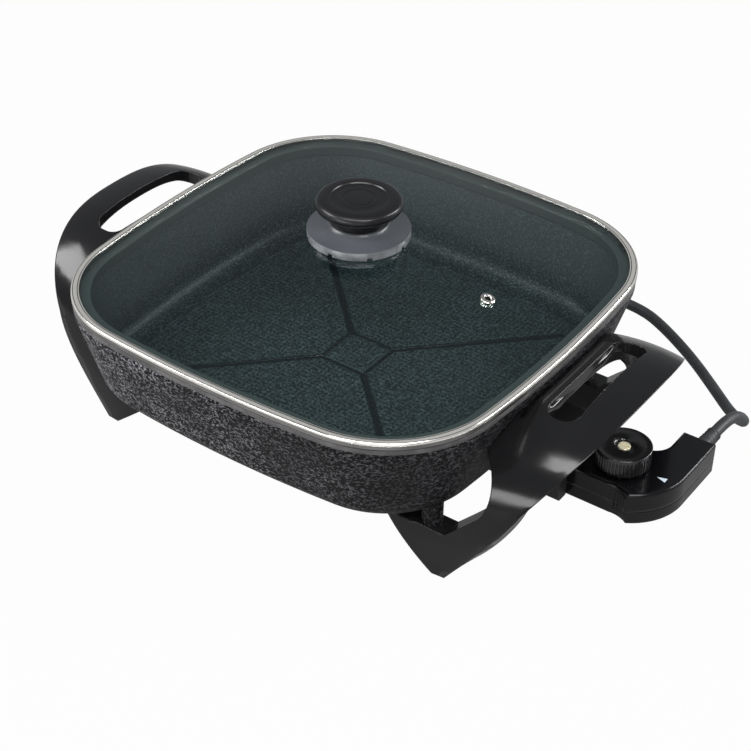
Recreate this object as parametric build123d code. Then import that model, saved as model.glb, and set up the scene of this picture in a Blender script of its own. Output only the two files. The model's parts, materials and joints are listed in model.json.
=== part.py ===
from build123d import *
from math import atan2, cos, degrees, pi, radians, sin, sqrt, tan
import os

# A square electric skillet: a cast pan on two mouldings that are each a handle and two legs,
# a lift-off domed glass lid, and a plug-in heat control with its dial, cord, coil and plug.
# Lengths are millimetres and angles are degrees. Every piece is drawn about the pan's centre,
# with X towards the heat control, -Y to the front and Z up from the table, and is moved at
# the end so that the origin is under the middle of the whole appliance.

# Lid and pan in plan: a square with bowed sides and round corners
lid_width = 306.0
side_bow = 3.2
corner_radius = 77.4

# Pan
pan_base_z = 48.0
base_thickness = 5.0
pan_depth = 65.5
rim_band = 7.0
rim_setback = 0.5
rim_width = 9.5
rim_round = 1.6
outer_draft = 16.0
inner_draft = 8.9
outer_foot_radius = 17.0
inner_foot_radius = 14.0
panel_inset = 32.5
panel_corner = 44.0
groove_width = 1.4
groove_depth = 0.7
diagonal_width = 3.2
diagonal_inset = 55.0
centre_half = 15.0
boss_inset = 33.0
boss_radius = 6.5

# Heating element in its cast rib, and its terminals
element_diameter = 8.0
element_inset = 69.0
element_bend = 22.0
element_end_bend = 13.2
element_end_inset = 26.0
rib_width = 13.0
rib_drop = 4.0
terminal_pitch = 26.0
pin_diameter = 5.0
pin_reach = 11.0
pin_collar_radius = 4.3
pin_collar_length = 4.0

# Sensor well under the pan's base
well_diameter = 9.0
well_bore = 6.1
well_tip_inset = 87.0
well_end_wall = 3.0

# Terminal guard
guard_reach = 18.5
guard_root_inset = 49.0
guard_rear_wall_inset = 12.0
guard_wall = 2.6
guard_corner = 3.0
guard_web_depth = 5.0
guard_screw_setback = 8.0
cheek_width = 9.6
mouth_clearance = 0.6

# Handles, which are also the legs
crown_drop = 1.2
crown_thickness = 6.0
camber = 6.0
strap_half = 39.0
strap_middle = 27.0
strap_swell = 1.4
leg_span_inset = 55.8
leg_depth = 14.0
arch_knee_z = 16.0
arch_power = 2.55
arch_power_gain = 0.2
arch_steps = 6
foot_inset = 18.6
foot_length = 8.7
lean = 0.675
leg_flare = 6.8
flare_depth = 20.0
flare_top_rise = 16.0
skirt_depth = 14.0
slot_inner_reach = 10.5
slot_outer_reach = 31.5
slot_half = 46.5
slot_corner = 9.0
ridge_width = 5.5
ridge_round = 6.0
ridge_drop = 4.5
ridge_fall = 0.6
shelf_drop = 14.0
shelf_thickness = 6.0
arm_slope = 40.0
window_start_inset = 19.5
window_reach = 4.3
window_widest_rise = 23.0
window_top_inset = 10.0
window_top_rise = 40.0
window_sag = 7.3

# Lid rim and glass
lid_gap = 0.3
lid_rim_height = 4.0
lid_sheet = 0.5
lid_band_width = 5.2
lid_shoulder = 1.3
lid_skirt_drop = 5.6
lid_skirt_play = 0.6
glass_thickness = 3.0
glass_edge_inset = 1.2
dome_start_inset = 6.0
dome_rise = 30.3
dome_crown_radius = 29.0
dome_power = 1.55
dome_steps = 4
crown_roundness = 0.96
vent_inset = 57.5
vent_flange_radius = 4.7
vent_barrel_radius = 3.0
vent_bore_radius = 1.85
vent_height = 1.3
vent_seat = 0.05

# Lid knob
knob_base_radius = 32.5
knob_skirt_height = 5.7
knob_edge = 0.8
knob_base_height = 10.5
knob_neck_radius = 17.6
knob_cap_radius = 27.3
knob_neck_height = 8.9
knob_cap_height = 7.3
knob_ring_radius = 18.5
knob_ring_depth = 1.1
knob_collar_radius = 12.6
knob_button_radius = 8.8
knob_notches = 8
knob_notch_width = 3.0
knob_notch_height = 1.9
knob_notch_depth = 2.5
knob_notch_turn = 3.0
knob_screw_radius = 2.5
knob_screw_head_radius = 6.5
knob_screw_bite = 5.7
knob_washer_radius = 10.0
knob_washer_thickness = 1.6

# Heat control
control_drop = 15.0
control_height = 22.0
lower_shell_height = 9.0
control_wall = 2.2
control_edge = 1.8
control_overhang = 80.3
nose_inset = 8.0
nose_half = 21.3
nose_reach = 47.0
nose_curve = 40.0
nose_curve_y = 10.0
shoulder_reach = 60.5
tail_width = 21.8
tail_end_y = 50.5
tail_bend = 13.0
grip_bulge = 0.2
grip_ribs = 5
grip_rib_radius = 0.9
seam_step = 0.4
cavity_reach = 16.0
shell_boss_radius = 4.8
shell_boss_merge = 0.9
shell_web_rise = 5.5
shell_screw_cover = 4.0
rod_diameter = 5.5
rod_tip_gap = 6.0
rod_flange_radius = 5.0
rod_flange_width = 1.6
socket_wall = 1.3
socket_clearance = 0.3
socket_length = 22.0
frame_gap = 1.5
frame_half = 9.0
frame_rise = 6.0
frame_sheet = 1.5
frame_clearance = 1.0
bush_wall = 2.4
bush_cover = 3.5

# Dial
dial_reach = 42.9
dial_radius = 17.0
dial_gap = 0.5
dial_height = 13.6
dial_ribs = 48
dial_rib_depth = 0.6
dial_rim_height = 2.6
dial_rim_edge = 0.35
dial_foot_height = 2.2
dial_recess_radius = 6.2
dial_recess_depth = 2.6
dial_insert_wall = 1.0
dial_screw_radius = 3.9
shaft_diameter = 6.0
shaft_clearance = 0.08

# Cord, its strain relief, its coil and its plug
cord_diameter = 7.6
bend_share = 0.45
relief_length = 22.0
relief_radius = 6.0
relief_tip_radius = 4.8
relief_neck_radius = 4.8
relief_collar = 1.0
relief_collar_length = 1.4
relief_rings = 5
relief_groove = 0.8
coil_outer_radius = 48.0
coil_reach = 26.0
coil_turns_per_layer = 2
coil_pitch = 8.2
tie_thickness = 1.3
tie_width = 9.0
tie_gap = 0.3
plug_length = 38.0
plug_width = 34.0
plug_height = 22.0
plug_relief_length = 20.0
plug_sleeve_radius = 7.0
plug_shoulder_share = 0.45
plug_corner = 7.9
plug_pin_diameter = 4.0
plug_pin_length = 19.0
plug_pin_root = 6.0
plug_pin_root_radius = 2.6
plug_pin_pitch = 19.0
plug_earth_offset = 3.0

# Fits and fasteners
body_gap = 0.3
past = 1.0
slip = 0.1
screw_radius = 2.0
screw_head_radius = 3.8
screw_head_height = 2.4
screw_room = 0.5
screw_slot = 1.0
screw_bite = 3.5
leg_screw_radius = 2.5
leg_screw_head_radius = 4.6
leg_screw_bite = 10.0

# Sizes that follow from the ones above
half = lid_width / 2
rim_top_z = pan_base_z + pan_depth
panel_half = half - panel_inset
diagonal_end = half - diagonal_inset
boss_x = half - boss_inset
element_half = half - element_inset
element_end_x = half - element_end_inset
pin_end_x = half + pin_reach
well_tip_x = half - well_tip_inset
rod_tip_x = well_tip_x + rod_tip_gap
guard_face_x = half + guard_reach
guard_back_x = half - guard_root_inset
guard_rear_wall_x = half - guard_rear_wall_inset
guard_web_z = pan_base_z - guard_web_depth
crown_z = rim_top_z - crown_drop
ridge_z = crown_z - ridge_drop
foot_half_span = half - leg_span_inset
foot_outer_x = half - foot_inset
slot_inner_x = half + slot_inner_reach
slot_outer_x = half + slot_outer_reach
shelf_z = pan_base_z - shelf_drop
window_start_x = half - window_start_inset
window_widest_x = half + window_reach
window_widest_z = pan_base_z + window_widest_rise
window_top_x = half - window_top_inset
window_top_z = pan_base_z + window_top_rise
dome_crown_z = rim_top_z + dome_rise
vent_x = half - vent_inset
knob_flare_top_z = dome_crown_z + knob_base_height
knob_cap_z = knob_flare_top_z + knob_neck_height
knob_top_z = knob_cap_z + knob_cap_height
knob_screw_tip_z = knob_flare_top_z + knob_screw_bite
control_bottom_z = pan_base_z - control_drop
control_seam_z = control_bottom_z + lower_shell_height
control_top_z = control_bottom_z + control_height
control_reach = half + control_overhang
nose_x = half - nose_inset
nose_end_x = half + nose_reach
shoulder_x = half + shoulder_reach
tail_inner_x = control_reach - tail_width
cavity_x = half + cavity_reach
shell_web_z = control_bottom_z + shell_web_rise
shell_screw_tip_z = control_top_z - shell_screw_cover
frame_start_x = cavity_x + frame_gap
frame_z = control_bottom_z + frame_rise
bush_top_z = control_top_z - bush_cover
dial_x = half + dial_reach
side_chord = half - corner_radius
side_radius = (side_chord ** 2 + side_bow ** 2) / (2 * side_bow)
floor_z = pan_base_z + base_thickness
band_z = rim_top_z - rim_band
boss_y = foot_half_span - leg_depth / 2
leg_web_z = shelf_z - shelf_thickness
flare_top_z = pan_base_z + flare_top_rise
above_z = crown_z + ridge_drop
leg_screw_tip_z = shelf_z + leg_screw_bite
element_z = pan_base_z - element_diameter / 2
control_z = pan_base_z - well_diameter / 2
terminal_y = terminal_pitch / 2
guard_screw_x = guard_back_x + guard_screw_setback
guard_screw_y = nose_half + mouth_clearance + cheek_width / 2
guard_screw_tip_z = pan_base_z + screw_bite
lid_bottom_z = rim_top_z + lid_gap
lid_top_z = lid_bottom_z + lid_rim_height
glass_low_z = lid_bottom_z + lid_sheet
glass_top_z = glass_low_z + glass_thickness
skirt_inset = rim_setback + rim_width + tan(radians(inner_draft)) * lid_skirt_drop + lid_skirt_play
knob_bore_radius = knob_screw_radius + slip
socket_bore = pin_diameter / 2 + socket_clearance
socket_radius = socket_bore + socket_wall
dial_z = control_top_z + dial_gap
dial_top_z = dial_z + dial_height
cord_z = (control_bottom_z + control_top_z) / 2
cord_radius = cord_diameter / 2
tail_middle_x = (tail_inner_x + control_reach) / 2
relief_end_y = tail_end_y + relief_length
coil_low_z = tie_thickness + tie_gap + cord_radius
coil_high_z = coil_low_z + coil_pitch
coil_middle = Vector(0, half + coil_reach, 0)
coil_back_y = coil_middle.Y + coil_outer_radius
far = 3 * lid_width

# The cord's route from its strain relief to the coil, and from the coil to the plug
cord_route = [
    (tail_middle_x, relief_end_y, cord_z),
    (tail_middle_x, relief_end_y + 19.0, cord_z),
    (half + 70.0, half - 41.0, 34.0),
    (half + 67.0, half - 21.0, 14.5),
    (half + 52.0, half - 6.0, 4.6),
    (half + 27.0, half + 16.0, 3.9),
    (half - 1.0, half + 39.0, 3.9),
    (half - 34.0, half + 61.0, 3.9),
    (half - 58.0, half + 72.5, 3.9),
    (half - 88.0, half + 73.0, 4.1),
    (half - 118.0, coil_back_y, coil_low_z),
    (cord_diameter, coil_back_y, coil_low_z),
]
tail_route = [
    (-cord_diameter, coil_back_y, coil_high_z),
    (-26.0, coil_back_y, coil_high_z - 0.3),
    (-46.0, coil_back_y - 2.5, coil_high_z - 1.4),
    (-64.0, coil_back_y - 8.0, plug_height / 2 + 0.2),
]


def rounded_square(half_width, corner, side, z):
    """A face at height z with four bowed sides and four round corners, all tangent."""
    side_centre = half_width - side
    reach = side - corner
    corner_centre = (side_centre + sqrt(2 * reach ** 2 - side_centre ** 2)) / 2
    meet = degrees(atan2(corner_centre, corner_centre - side_centre))

    def on_arc(centre, radius, angle, quarter):
        point = centre + Vector(radius * cos(radians(angle)), radius * sin(radians(angle)))
        return point.rotate(Axis.Z, 90 * quarter) + Vector(0, 0, z)

    edges = []
    for quarter in range(4):
        middle = Vector(side_centre, 0)
        edges.append(ThreePointArc(*[on_arc(middle, side, a, quarter) for a in (-meet, 0, meet)]))
        middle = Vector(corner_centre, corner_centre)
        edges.append(ThreePointArc(*[on_arc(middle, corner, a, quarter) for a in (meet, 45, 90 - meet)]))
    return Face(Wire(edges))


def plan(inset, z):
    """The lid's outline drawn in by inset, at height z."""
    return rounded_square(half - inset, corner_radius - inset, side_radius - inset, z)


def plan_ring(outer_inset, inner_inset, low, high):
    """A band that follows the lid's outline between two insets and two heights."""
    rise = high - low
    return extrude(plan(outer_inset, low), rise) - extrude(plan(inner_inset, low), rise)


def drafted_block(top_inset, top_z, draft, bottom_z, foot_radius):
    """A block that narrows downwards from top_z, with its lower edge rounded."""
    bottom_inset = top_inset + tan(radians(draft)) * (top_z - bottom_z)
    block = loft([plan(bottom_inset, bottom_z), plan(top_inset, top_z)], ruled=True)
    return fillet(block.edges().group_by(Axis.Z)[0], foot_radius)


def pan_outside(grow=0.0):
    """The pan without its hollow, larger all round by grow."""
    body = drafted_block(rim_setback - grow, band_z, outer_draft, pan_base_z - grow, outer_foot_radius)
    return body + extrude(plan(rim_setback - grow, band_z), rim_band + grow)


def turned(points, centre=(0, 0)):
    """A solid turned about a vertical axis from (radius, height) points."""
    outline = Polyline(*[(r, 0, z) for r, z in points], close=True)
    solid = revolve(Face(Wire(outline.edges())), Axis.Z)
    return Pos(centre[0], centre[1], 0) * solid


def upright(radius, low, high, x=0.0, y=0.0):
    """A vertical cylinder."""
    return Pos(x, y, (low + high) / 2) * Cylinder(radius, high - low)


def lying_x(radius, x_from, x_to, y, z):
    """A cylinder along X."""
    return Pos((x_from + x_to) / 2, y, z) * Rot(0, 90, 0) * Cylinder(radius, x_to - x_from)


def block(x_from, x_to, y_from, y_to, z_from, z_to):
    """A box given by its faces."""
    centre = Pos((x_from + x_to) / 2, (y_from + y_to) / 2, (z_from + z_to) / 2)
    return centre * Box(x_to - x_from, y_to - y_from, z_to - z_from)


def four_corners(x, y):
    """The four places that mirror (x, y) in both axes."""
    return [(sx * x, sy * y) for sx in (-1, 1) for sy in (-1, 1)]


def element_path():
    """The element's centre line: in from one terminal, round the base and out to the other."""
    e, t = element_half, terminal_y
    corners = [(element_end_x, -t), (e, -t), (e, -e), (-e, -e), (-e, e), (e, e), (e, t), (element_end_x, t)]
    bends = [element_end_bend] + [element_bend] * 4 + [element_end_bend]
    return FilletPolyline(*[(x, y, element_z) for x, y in corners], radius=bends)


def along(path, section):
    """The section swept along a path that it stands square to."""
    start = Plane(origin=path @ 0, x_dir=Vector(0, 0, 1).cross(path % 0), z_dir=path % 0)
    return sweep(start * section, path=path)


def floor_grooves():
    """The shallow lines in the pan's floor: a panel edge, a small square and four diagonals."""
    line = groove_width / 2
    side = side_radius - (half - panel_half)
    panel = (rounded_square(panel_half + line, panel_corner + line, side + line, floor_z)
             - rounded_square(panel_half - line, panel_corner - line, side - line, floor_z))
    square = Rectangle(2 * centre_half + groove_width, 2 * centre_half + groove_width)
    square -= Rectangle(2 * centre_half - groove_width, 2 * centre_half - groove_width)
    reach = sqrt(2) * (diagonal_end - centre_half)
    arm = Pos(sqrt(2) * centre_half + reach / 2, 0) * Rectangle(reach, diagonal_width)
    lines = square
    for quarter in range(4):
        lines += Rot(0, 0, 45 + 90 * quarter) * arm
    lines = Pos(0, 0, floor_z) * lines
    return extrude(panel, -groove_depth) + extrude(lines, -groove_depth)


def make_pan():
    """The cast pan: drafted walls, a rounded foot inside and out, a wide rim and an underside
    with the element's rib, the saddle of the sensor well and the bosses for the legs."""
    pan = pan_outside()
    pan = fillet(pan.edges().group_by(Axis.Z)[-1], rim_round)
    pan -= drafted_block(rim_setback + rim_width, rim_top_z, inner_draft, floor_z, inner_foot_radius)
    mouth = pan.faces().sort_by(Axis.Z)[-1]
    pan = fillet(mouth.inner_wires()[0].edges(), rim_round)
    pan -= floor_grooves()
    rib_height = rib_drop + base_thickness / 2
    pan += along(element_path(), Pos(0, rib_height / 2) * Rectangle(rib_width, rib_height))
    saddle_low = control_z + past
    pan += block(well_tip_x, guard_back_x, -rib_width / 2, rib_width / 2, saddle_low, pan_base_z + past)
    for x, y in four_corners(boss_x, boss_y):
        pan += upright(boss_radius, shelf_z, pan_base_z + base_thickness / 2, x, y)
    pan -= along(element_path(), Circle(element_diameter / 2))
    pan -= lying_x(well_diameter / 2, well_tip_x - past, guard_back_x + past, 0, control_z)
    for x, y in four_corners(boss_x, boss_y):
        pan -= upright(leg_screw_radius + slip, shelf_z, leg_screw_tip_z + screw_room, x, y)
    for y in (-guard_screw_y, guard_screw_y):
        pan -= upright(screw_radius + slip, pan_base_z, guard_screw_tip_z + screw_room, guard_screw_x, y)
    return pan


def make_element():
    """The tubular element in its rib, open towards the heat control."""
    return along(element_path(), Circle(element_diameter / 2))


def make_terminal_pins():
    """Two round pins with ceramic collars at the element's ends."""
    pins = []
    for y in (-terminal_y, terminal_y):
        pin = lying_x(pin_diameter / 2, element_end_x, pin_end_x, y, element_z)
        pin = chamfer(pin.edges().group_by(Axis.X)[-1], pin_diameter / 4)
        collar_end = element_end_x + pin_collar_length
        pins.append(pin + lying_x(pin_collar_radius, element_end_x, collar_end, y, element_z))
    return pins


def make_sensor_well():
    """The closed tube under the base that takes the control's sensing rod."""
    well = lying_x(well_diameter / 2, well_tip_x, guard_rear_wall_x, 0, control_z)
    return well - lying_x(well_bore / 2, well_tip_x + well_end_wall, guard_rear_wall_x + past, 0, control_z)


def make_guard():
    """The shroud round the pins: two cheeks screwed under the pan, a bridge across their outer
    ends and a wall that the pins and the sensor well come through. It is open below."""
    mouth_half = nose_half + mouth_clearance
    guard_half = mouth_half + cheek_width
    low = control_bottom_z
    mouth_top = control_top_z + mouth_clearance
    guard = block(guard_back_x, guard_face_x, -guard_half, guard_half, low, mouth_top + guard_wall)
    guard = fillet(guard.edges().filter_by(Axis.X), guard_corner)
    guard -= block(guard_back_x - past, guard_face_x + past, -mouth_half, mouth_half, low - past, mouth_top)
    rear_x = guard_rear_wall_x - guard_wall
    guard += block(rear_x, guard_rear_wall_x, -mouth_half - past, mouth_half + past, low, mouth_top + past)
    for y in (-terminal_y, terminal_y):
        guard -= lying_x(pin_diameter / 2 + slip, rear_x - past, guard_rear_wall_x + past, y, element_z)
    guard -= lying_x(well_diameter / 2 + slip, rear_x - past, guard_rear_wall_x + past, 0, control_z)
    for y in (-guard_screw_y, guard_screw_y):
        seat = control_bottom_z - past
        guard -= upright(screw_head_radius + screw_room, seat, guard_web_z, guard_screw_x, y)
        guard -= upright(screw_radius + slip, seat, pan_base_z, guard_screw_x, y)
    return guard - pan_outside(body_gap)


def make_guard_screws():
    """The two screws that hold the guard to the pan's base."""
    length = guard_screw_tip_z - guard_web_z
    return [
        screw_up(screw_radius, screw_head_radius, length, guard_screw_x, y, guard_web_z)
        for y in (-guard_screw_y, guard_screw_y)
    ]


def make_leg_screws():
    """Four screws through the legs' shelves into the pan's bosses."""
    length = leg_screw_tip_z - leg_web_z
    return [
        screw_up(leg_screw_radius, leg_screw_head_radius, length, x, y, leg_web_z)
        for x, y in four_corners(boss_x, boss_y)
    ]


def arch_points(half_span, top_z, power):
    """Points (y, z) up one leg, over the superellipse and down to the other leg's knee."""
    rise = top_z - arch_knee_z
    points = []
    for step in range(-arch_steps, arch_steps + 1):
        turn = pi / 2 * abs(step) / arch_steps
        y = half_span * sin(turn) ** (2 / power) * (1 if step > 0 else -1)
        points.append((y, arch_knee_z + rise * max(cos(turn), 0) ** (2 / power)))
    return points


def arch_face(half_span, top_z, x_low, slope, power=arch_power):
    """A filled arch whose plane leans outwards by slope, from x_low at the table."""
    curve = [(x_low + slope * z, y, z) for y, z in arch_points(half_span, top_z, power)]
    top = Spline(*curve, tangents=[(slope, 0, 1), (-slope, 0, -1)])
    below_x = x_low - slope * past
    legs = Polyline(curve[-1], (below_x, half_span, -past), (below_x, -half_span, -past), curve[0])
    return Face(Wire(top.edges() + legs.edges()))


def arch(half_span, top_z, x_from, x_to):
    """A straight tunnel of the arch's shape along X."""
    return extrude(arch_face(half_span, top_z, x_from, 0), amount=x_to - x_from, dir=(1, 0, 0))


def strap():
    """The handle's cambered outside: three leaning arches, the middle one the largest."""
    sections = []
    for side in (-1, 0, 1):
        half_span = foot_half_span + strap_swell - camber / 2 * abs(side)
        x_low = foot_outer_x - strap_middle + strap_half * side
        power = arch_power + arch_power_gain * side
        sections.append(arch_face(half_span, crown_z - camber * abs(side), x_low, lean, power))
    return loft(sections)


def handle_elevation():
    """The handle's outline from the front without its outer edge: a ridge beside the slot that
    falls to the pan, a window beside the pan, a shelf under it and a sloping foot."""
    foot_inner_x = foot_outer_x - foot_length
    shelf_inner_x = foot_inner_x - shelf_z / tan(radians(arm_slope))
    ridge_x = slot_inner_x - ridge_width
    ridge_low_z = ridge_z - ridge_fall
    inside_x = half - corner_radius / 3
    top_inner = (ridge_x - ridge_round, 0, ridge_low_z - ridge_round)
    ridge_middle = (ridge_x - ridge_round * sqrt(0.5), 0, ridge_low_z - ridge_round * (1 - sqrt(0.5)))
    window_low = (window_widest_x - window_sag, 0, shelf_z + window_widest_x - window_sag - window_start_x)
    edges = Polyline(
        (window_start_x, 0, shelf_z), (shelf_inner_x, 0, shelf_z), (foot_inner_x, 0, 0), (far, 0, 0),
        (far, 0, above_z), (slot_outer_x, 0, above_z),
        (slot_inner_x + ridge_width / 2, 0, ridge_z), (ridge_x, 0, ridge_low_z)).edges()
    edges += ThreePointArc((ridge_x, 0, ridge_low_z), ridge_middle, top_inner).edges()
    edges += Polyline(top_inner, (inside_x, 0, top_inner[2]), (inside_x, 0, window_top_z),
                      (window_top_x, 0, window_top_z)).edges()
    window_middle = (window_widest_x, 0, window_widest_z)
    edges += ThreePointArc((window_top_x, 0, window_top_z), window_middle, window_low).edges()
    edges += Line(window_low, (window_start_x, 0, shelf_z)).edges()
    return Face(Wire(edges))


def outer_limit():
    """What lies inside the handle's leaning outer plane, and inside the flare that the legs have
    behind their outer edges, in four sections from the back to the front."""
    edge_half = foot_half_span + strap_swell + past
    knee_x = foot_outer_x + lean * flare_top_z
    middle_x = (foot_outer_x + knee_x) / 2 + leg_flare
    sections = []
    for y in (edge_half, edge_half - flare_depth, flare_depth - edge_half, -edge_half):
        foot, knee = (foot_outer_x, y, 0), (knee_x, y, flare_top_z)
        straight = abs(y) == edge_half
        contour = Line(foot, knee) if straight else ThreePointArc(foot, (middle_x, y, flare_top_z / 2), knee)
        above = [(foot_outer_x + lean * above_z, y, above_z), (0, y, above_z)]
        below = [(0, y, -past), (foot_outer_x, y, -past)]
        rest = Polyline(knee, *above, *below, foot)
        sections.append(Face(Wire(contour.edges() + rest.edges())))
    return loft(sections, ruled=True)


def make_right_handle():
    """One moulding that is both the handle and two legs, with a finger slot through its crown."""
    band = strap()
    inner_half = foot_half_span - leg_depth
    band -= arch(inner_half, crown_z - crown_thickness, slot_inner_x, far)
    band -= arch(inner_half, crown_z - skirt_depth, -past, slot_inner_x)
    elevation = Pos(0, half, 0) * handle_elevation()
    handle = band & extrude(elevation, amount=lid_width, dir=(0, -1, 0)) & outer_limit()
    slot_width = slot_outer_x - slot_inner_x
    slot = Pos((slot_inner_x + slot_outer_x) / 2, 0, crown_z - 2 * skirt_depth)
    slot *= RectangleRounded(slot_width, 2 * slot_half, slot_corner)
    handle -= extrude(slot, amount=3 * skirt_depth)
    for y in (-boss_y, boss_y):
        handle -= upright(leg_screw_head_radius + screw_room, -past, leg_web_z, boss_x, y)
        handle -= upright(leg_screw_radius + slip, -past, shelf_z + past, boss_x, y)
    return handle - pan_outside(body_gap)


def make_lid_rim():
    """The steel edge of the lid: a band folded over the glass, with a skirt that drops inside
    the pan's rim."""
    rim = plan_ring(0, skirt_inset + lid_sheet, lid_bottom_z, lid_top_z)
    outer_top = rim.faces().sort_by(Axis.Z)[-1].outer_wire().edges()
    rim = fillet(outer_top, lid_shoulder)
    rim -= extrude(plan(glass_edge_inset, glass_low_z), lid_rim_height - 2 * lid_sheet)
    rim -= extrude(plan(lid_band_width, glass_low_z), lid_rim_height)
    skirt = plan_ring(skirt_inset, skirt_inset + lid_sheet, lid_bottom_z - lid_skirt_drop, glass_low_z)
    return rim + skirt


def dome_section(part_way, drop):
    """One outline of the dome, from the glass's flat edge (0) to the crown (1)."""
    low_half = half - dome_start_inset
    width = low_half + (dome_crown_radius - low_half) * part_way
    rise = dome_crown_z - glass_top_z
    z = dome_crown_z - rise * (1 - part_way) ** dome_power - drop
    corner_share = corner_radius / half + (crown_roundness - corner_radius / half) * part_way
    side_curve = half / side_radius + (crown_roundness - half / side_radius) * part_way
    return rounded_square(width, width * corner_share, width / side_curve, z)


def make_glass():
    """The lid's glass: a flat edge that runs into a dome, square at its foot and round at its
    crown, with holes for the knob's screw and the steam vent."""
    steps = [step / dome_steps for step in range(dome_steps + 1)]
    glass = extrude(plan(glass_edge_inset + slip, glass_low_z), glass_thickness)
    glass += loft([dome_section(step, 0) for step in steps])
    glass -= loft([dome_section(step, glass_thickness) for step in steps])
    glass -= upright(knob_screw_radius + slip, dome_crown_z - 2 * glass_thickness, dome_crown_z + past)
    return glass - vent_place() * Cylinder(vent_barrel_radius + slip, 4 * glass_thickness)


def vent_place():
    """Where the steam vent sits: on the dome's right side, square to the glass."""
    low_half = half - dome_start_inset
    span = low_half - dome_crown_radius
    share = (vent_x - dome_crown_radius) / span
    rise = dome_crown_z - glass_top_z
    slope = rise * dome_power * share ** (dome_power - 1) / span
    return Pos(vent_x, 0, dome_crown_z - rise * share ** dome_power) * Rot(0, degrees(atan2(slope, 1)), 0)


def make_vent():
    """A rolled eyelet through the glass, open down its middle."""
    sit = vent_seat
    low = -glass_thickness - sit
    inner, barrel, flange = vent_bore_radius, vent_barrel_radius, vent_flange_radius
    rolled = flange * 0.87
    profile = [
        (inner, low - vent_height), (rolled, low - vent_height), (rolled, low), (barrel, low), (barrel, sit),
        (flange, sit), (flange, sit + vent_height * 0.5), (flange * 0.77, sit + vent_height),
        (inner * 1.38, sit + vent_height), (inner, sit + vent_height * 0.4)]
    return vent_place() * turned(profile)


def make_knob_base():
    """The knob's round foot, with notches round its lower edge and a flare up to the neck."""
    low = dome_crown_z + slip
    skirt_top = dome_crown_z + knob_skirt_height
    edge, outer = knob_edge, knob_base_radius
    top_radius = knob_neck_radius + 1.5 * edge
    rise = knob_flare_top_z - skirt_top
    flare = [(outer + (top_radius - outer) * across, skirt_top + rise * up)
             for across, up in ((0.42, 0.16), (0.7, 0.4), (0.87, 0.7), (1, 0.93), (1, 1))]
    base = turned([
        (knob_bore_radius, low), (outer - edge, low), (outer, low + edge), (outer, skirt_top - edge),
        (outer - edge, skirt_top), *flare, (knob_bore_radius, knob_flare_top_z)])
    for index in range(knob_notches):
        angle = index * 360 / knob_notches + knob_notch_turn
        notch = block(knob_base_radius - knob_notch_depth, knob_base_radius + past,
                      -knob_notch_width / 2, knob_notch_width / 2, low - past, low + knob_notch_height)
        base -= Rot(0, 0, angle) * notch
    return base


def make_knob():
    """The knob's neck and its wide cap, with stepped rings on top."""
    cap, neck, edge = knob_cap_radius, knob_neck_radius, knob_edge
    low, top = knob_cap_z, knob_top_z
    dish = top - knob_ring_depth
    profile = [
        (0, knob_flare_top_z), (neck, knob_flare_top_z), (neck, low - 2 * edge), (neck + 2 * edge, low),
        (cap - 2 * edge, low), (cap - edge / 2, low + 1.2 * edge), (cap, low + 2.7 * edge),
        (cap, low + 4.2 * edge), (cap - edge, top - 2.4 * edge), (cap - 3.2 * edge, top - 0.7 * edge),
        (cap - 6 * edge, top), (knob_ring_radius, top), (knob_ring_radius - edge, dish),
        (knob_collar_radius, dish), (knob_collar_radius - edge, (dish + top) / 2),
        (knob_button_radius + 2 * edge, (dish + top) / 2), (knob_button_radius + edge, dish),
        (knob_button_radius, (dish + top) / 2), (0, (dish + top) / 2)]
    knob = turned(profile)
    return knob - upright(knob_bore_radius, knob_flare_top_z - past, knob_screw_tip_z + screw_room)


def make_knob_washer():
    """The washer between the glass and the screw's head."""
    top = dome_crown_z - glass_thickness
    washer = upright(knob_washer_radius, top - knob_washer_thickness, top)
    return washer - upright(knob_screw_radius + slip, top - knob_washer_thickness - past, top + past)


def make_knob_screw():
    """The screw that holds the knob from inside the lid."""
    head_z = dome_crown_z - glass_thickness - knob_washer_thickness
    return screw_up(knob_screw_radius, knob_screw_head_radius, knob_screw_tip_z - head_z, 0, 0, head_z)


def control_plan():
    """The heat control from above: a straight nose, a ribbed thumb hollow, a rounded outer
    corner and a tail that turns back beside the pan."""
    curve_x = control_reach - nose_curve
    shoulder = control_shoulder()
    turn = atan2(nose_curve_y - shoulder[1], shoulder_x - curve_x) / 2
    outer_middle = (curve_x + nose_curve * cos(turn), nose_curve_y - nose_curve * sin(turn))
    bend_x = tail_inner_x - tail_bend
    bend_y = nose_half + tail_bend
    bend_middle = (bend_x + tail_bend * sqrt(0.5), bend_y - tail_bend * sqrt(0.5))
    edges = Line((nose_x, -nose_half), (nose_end_x, -nose_half)).edges()
    edges += grip_arc(shoulder).edges()
    edges += ThreePointArc(shoulder, outer_middle, (control_reach, nose_curve_y)).edges()
    edges += Polyline((control_reach, nose_curve_y), (control_reach, tail_end_y), (tail_inner_x, tail_end_y),
                      (tail_inner_x, bend_y)).edges()
    edges += ThreePointArc((tail_inner_x, bend_y), bend_middle, (bend_x, nose_half)).edges()
    edges += Polyline((bend_x, nose_half), (nose_x, nose_half), (nose_x, -nose_half)).edges()
    return Face(Wire(edges))


def grip_arc(shoulder):
    """The thumb hollow's line, from the nose to the control's shoulder."""
    middle = ((nose_end_x + shoulder[0]) / 2, -nose_half - grip_bulge)
    return ThreePointArc((nose_end_x, -nose_half), middle, shoulder)


def control_shoulder():
    """The sharp corner where the thumb hollow meets the rounded outer corner."""
    reach = shoulder_x - (control_reach - nose_curve)
    return (shoulder_x, nose_curve_y - sqrt(nose_curve ** 2 - reach ** 2))


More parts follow.
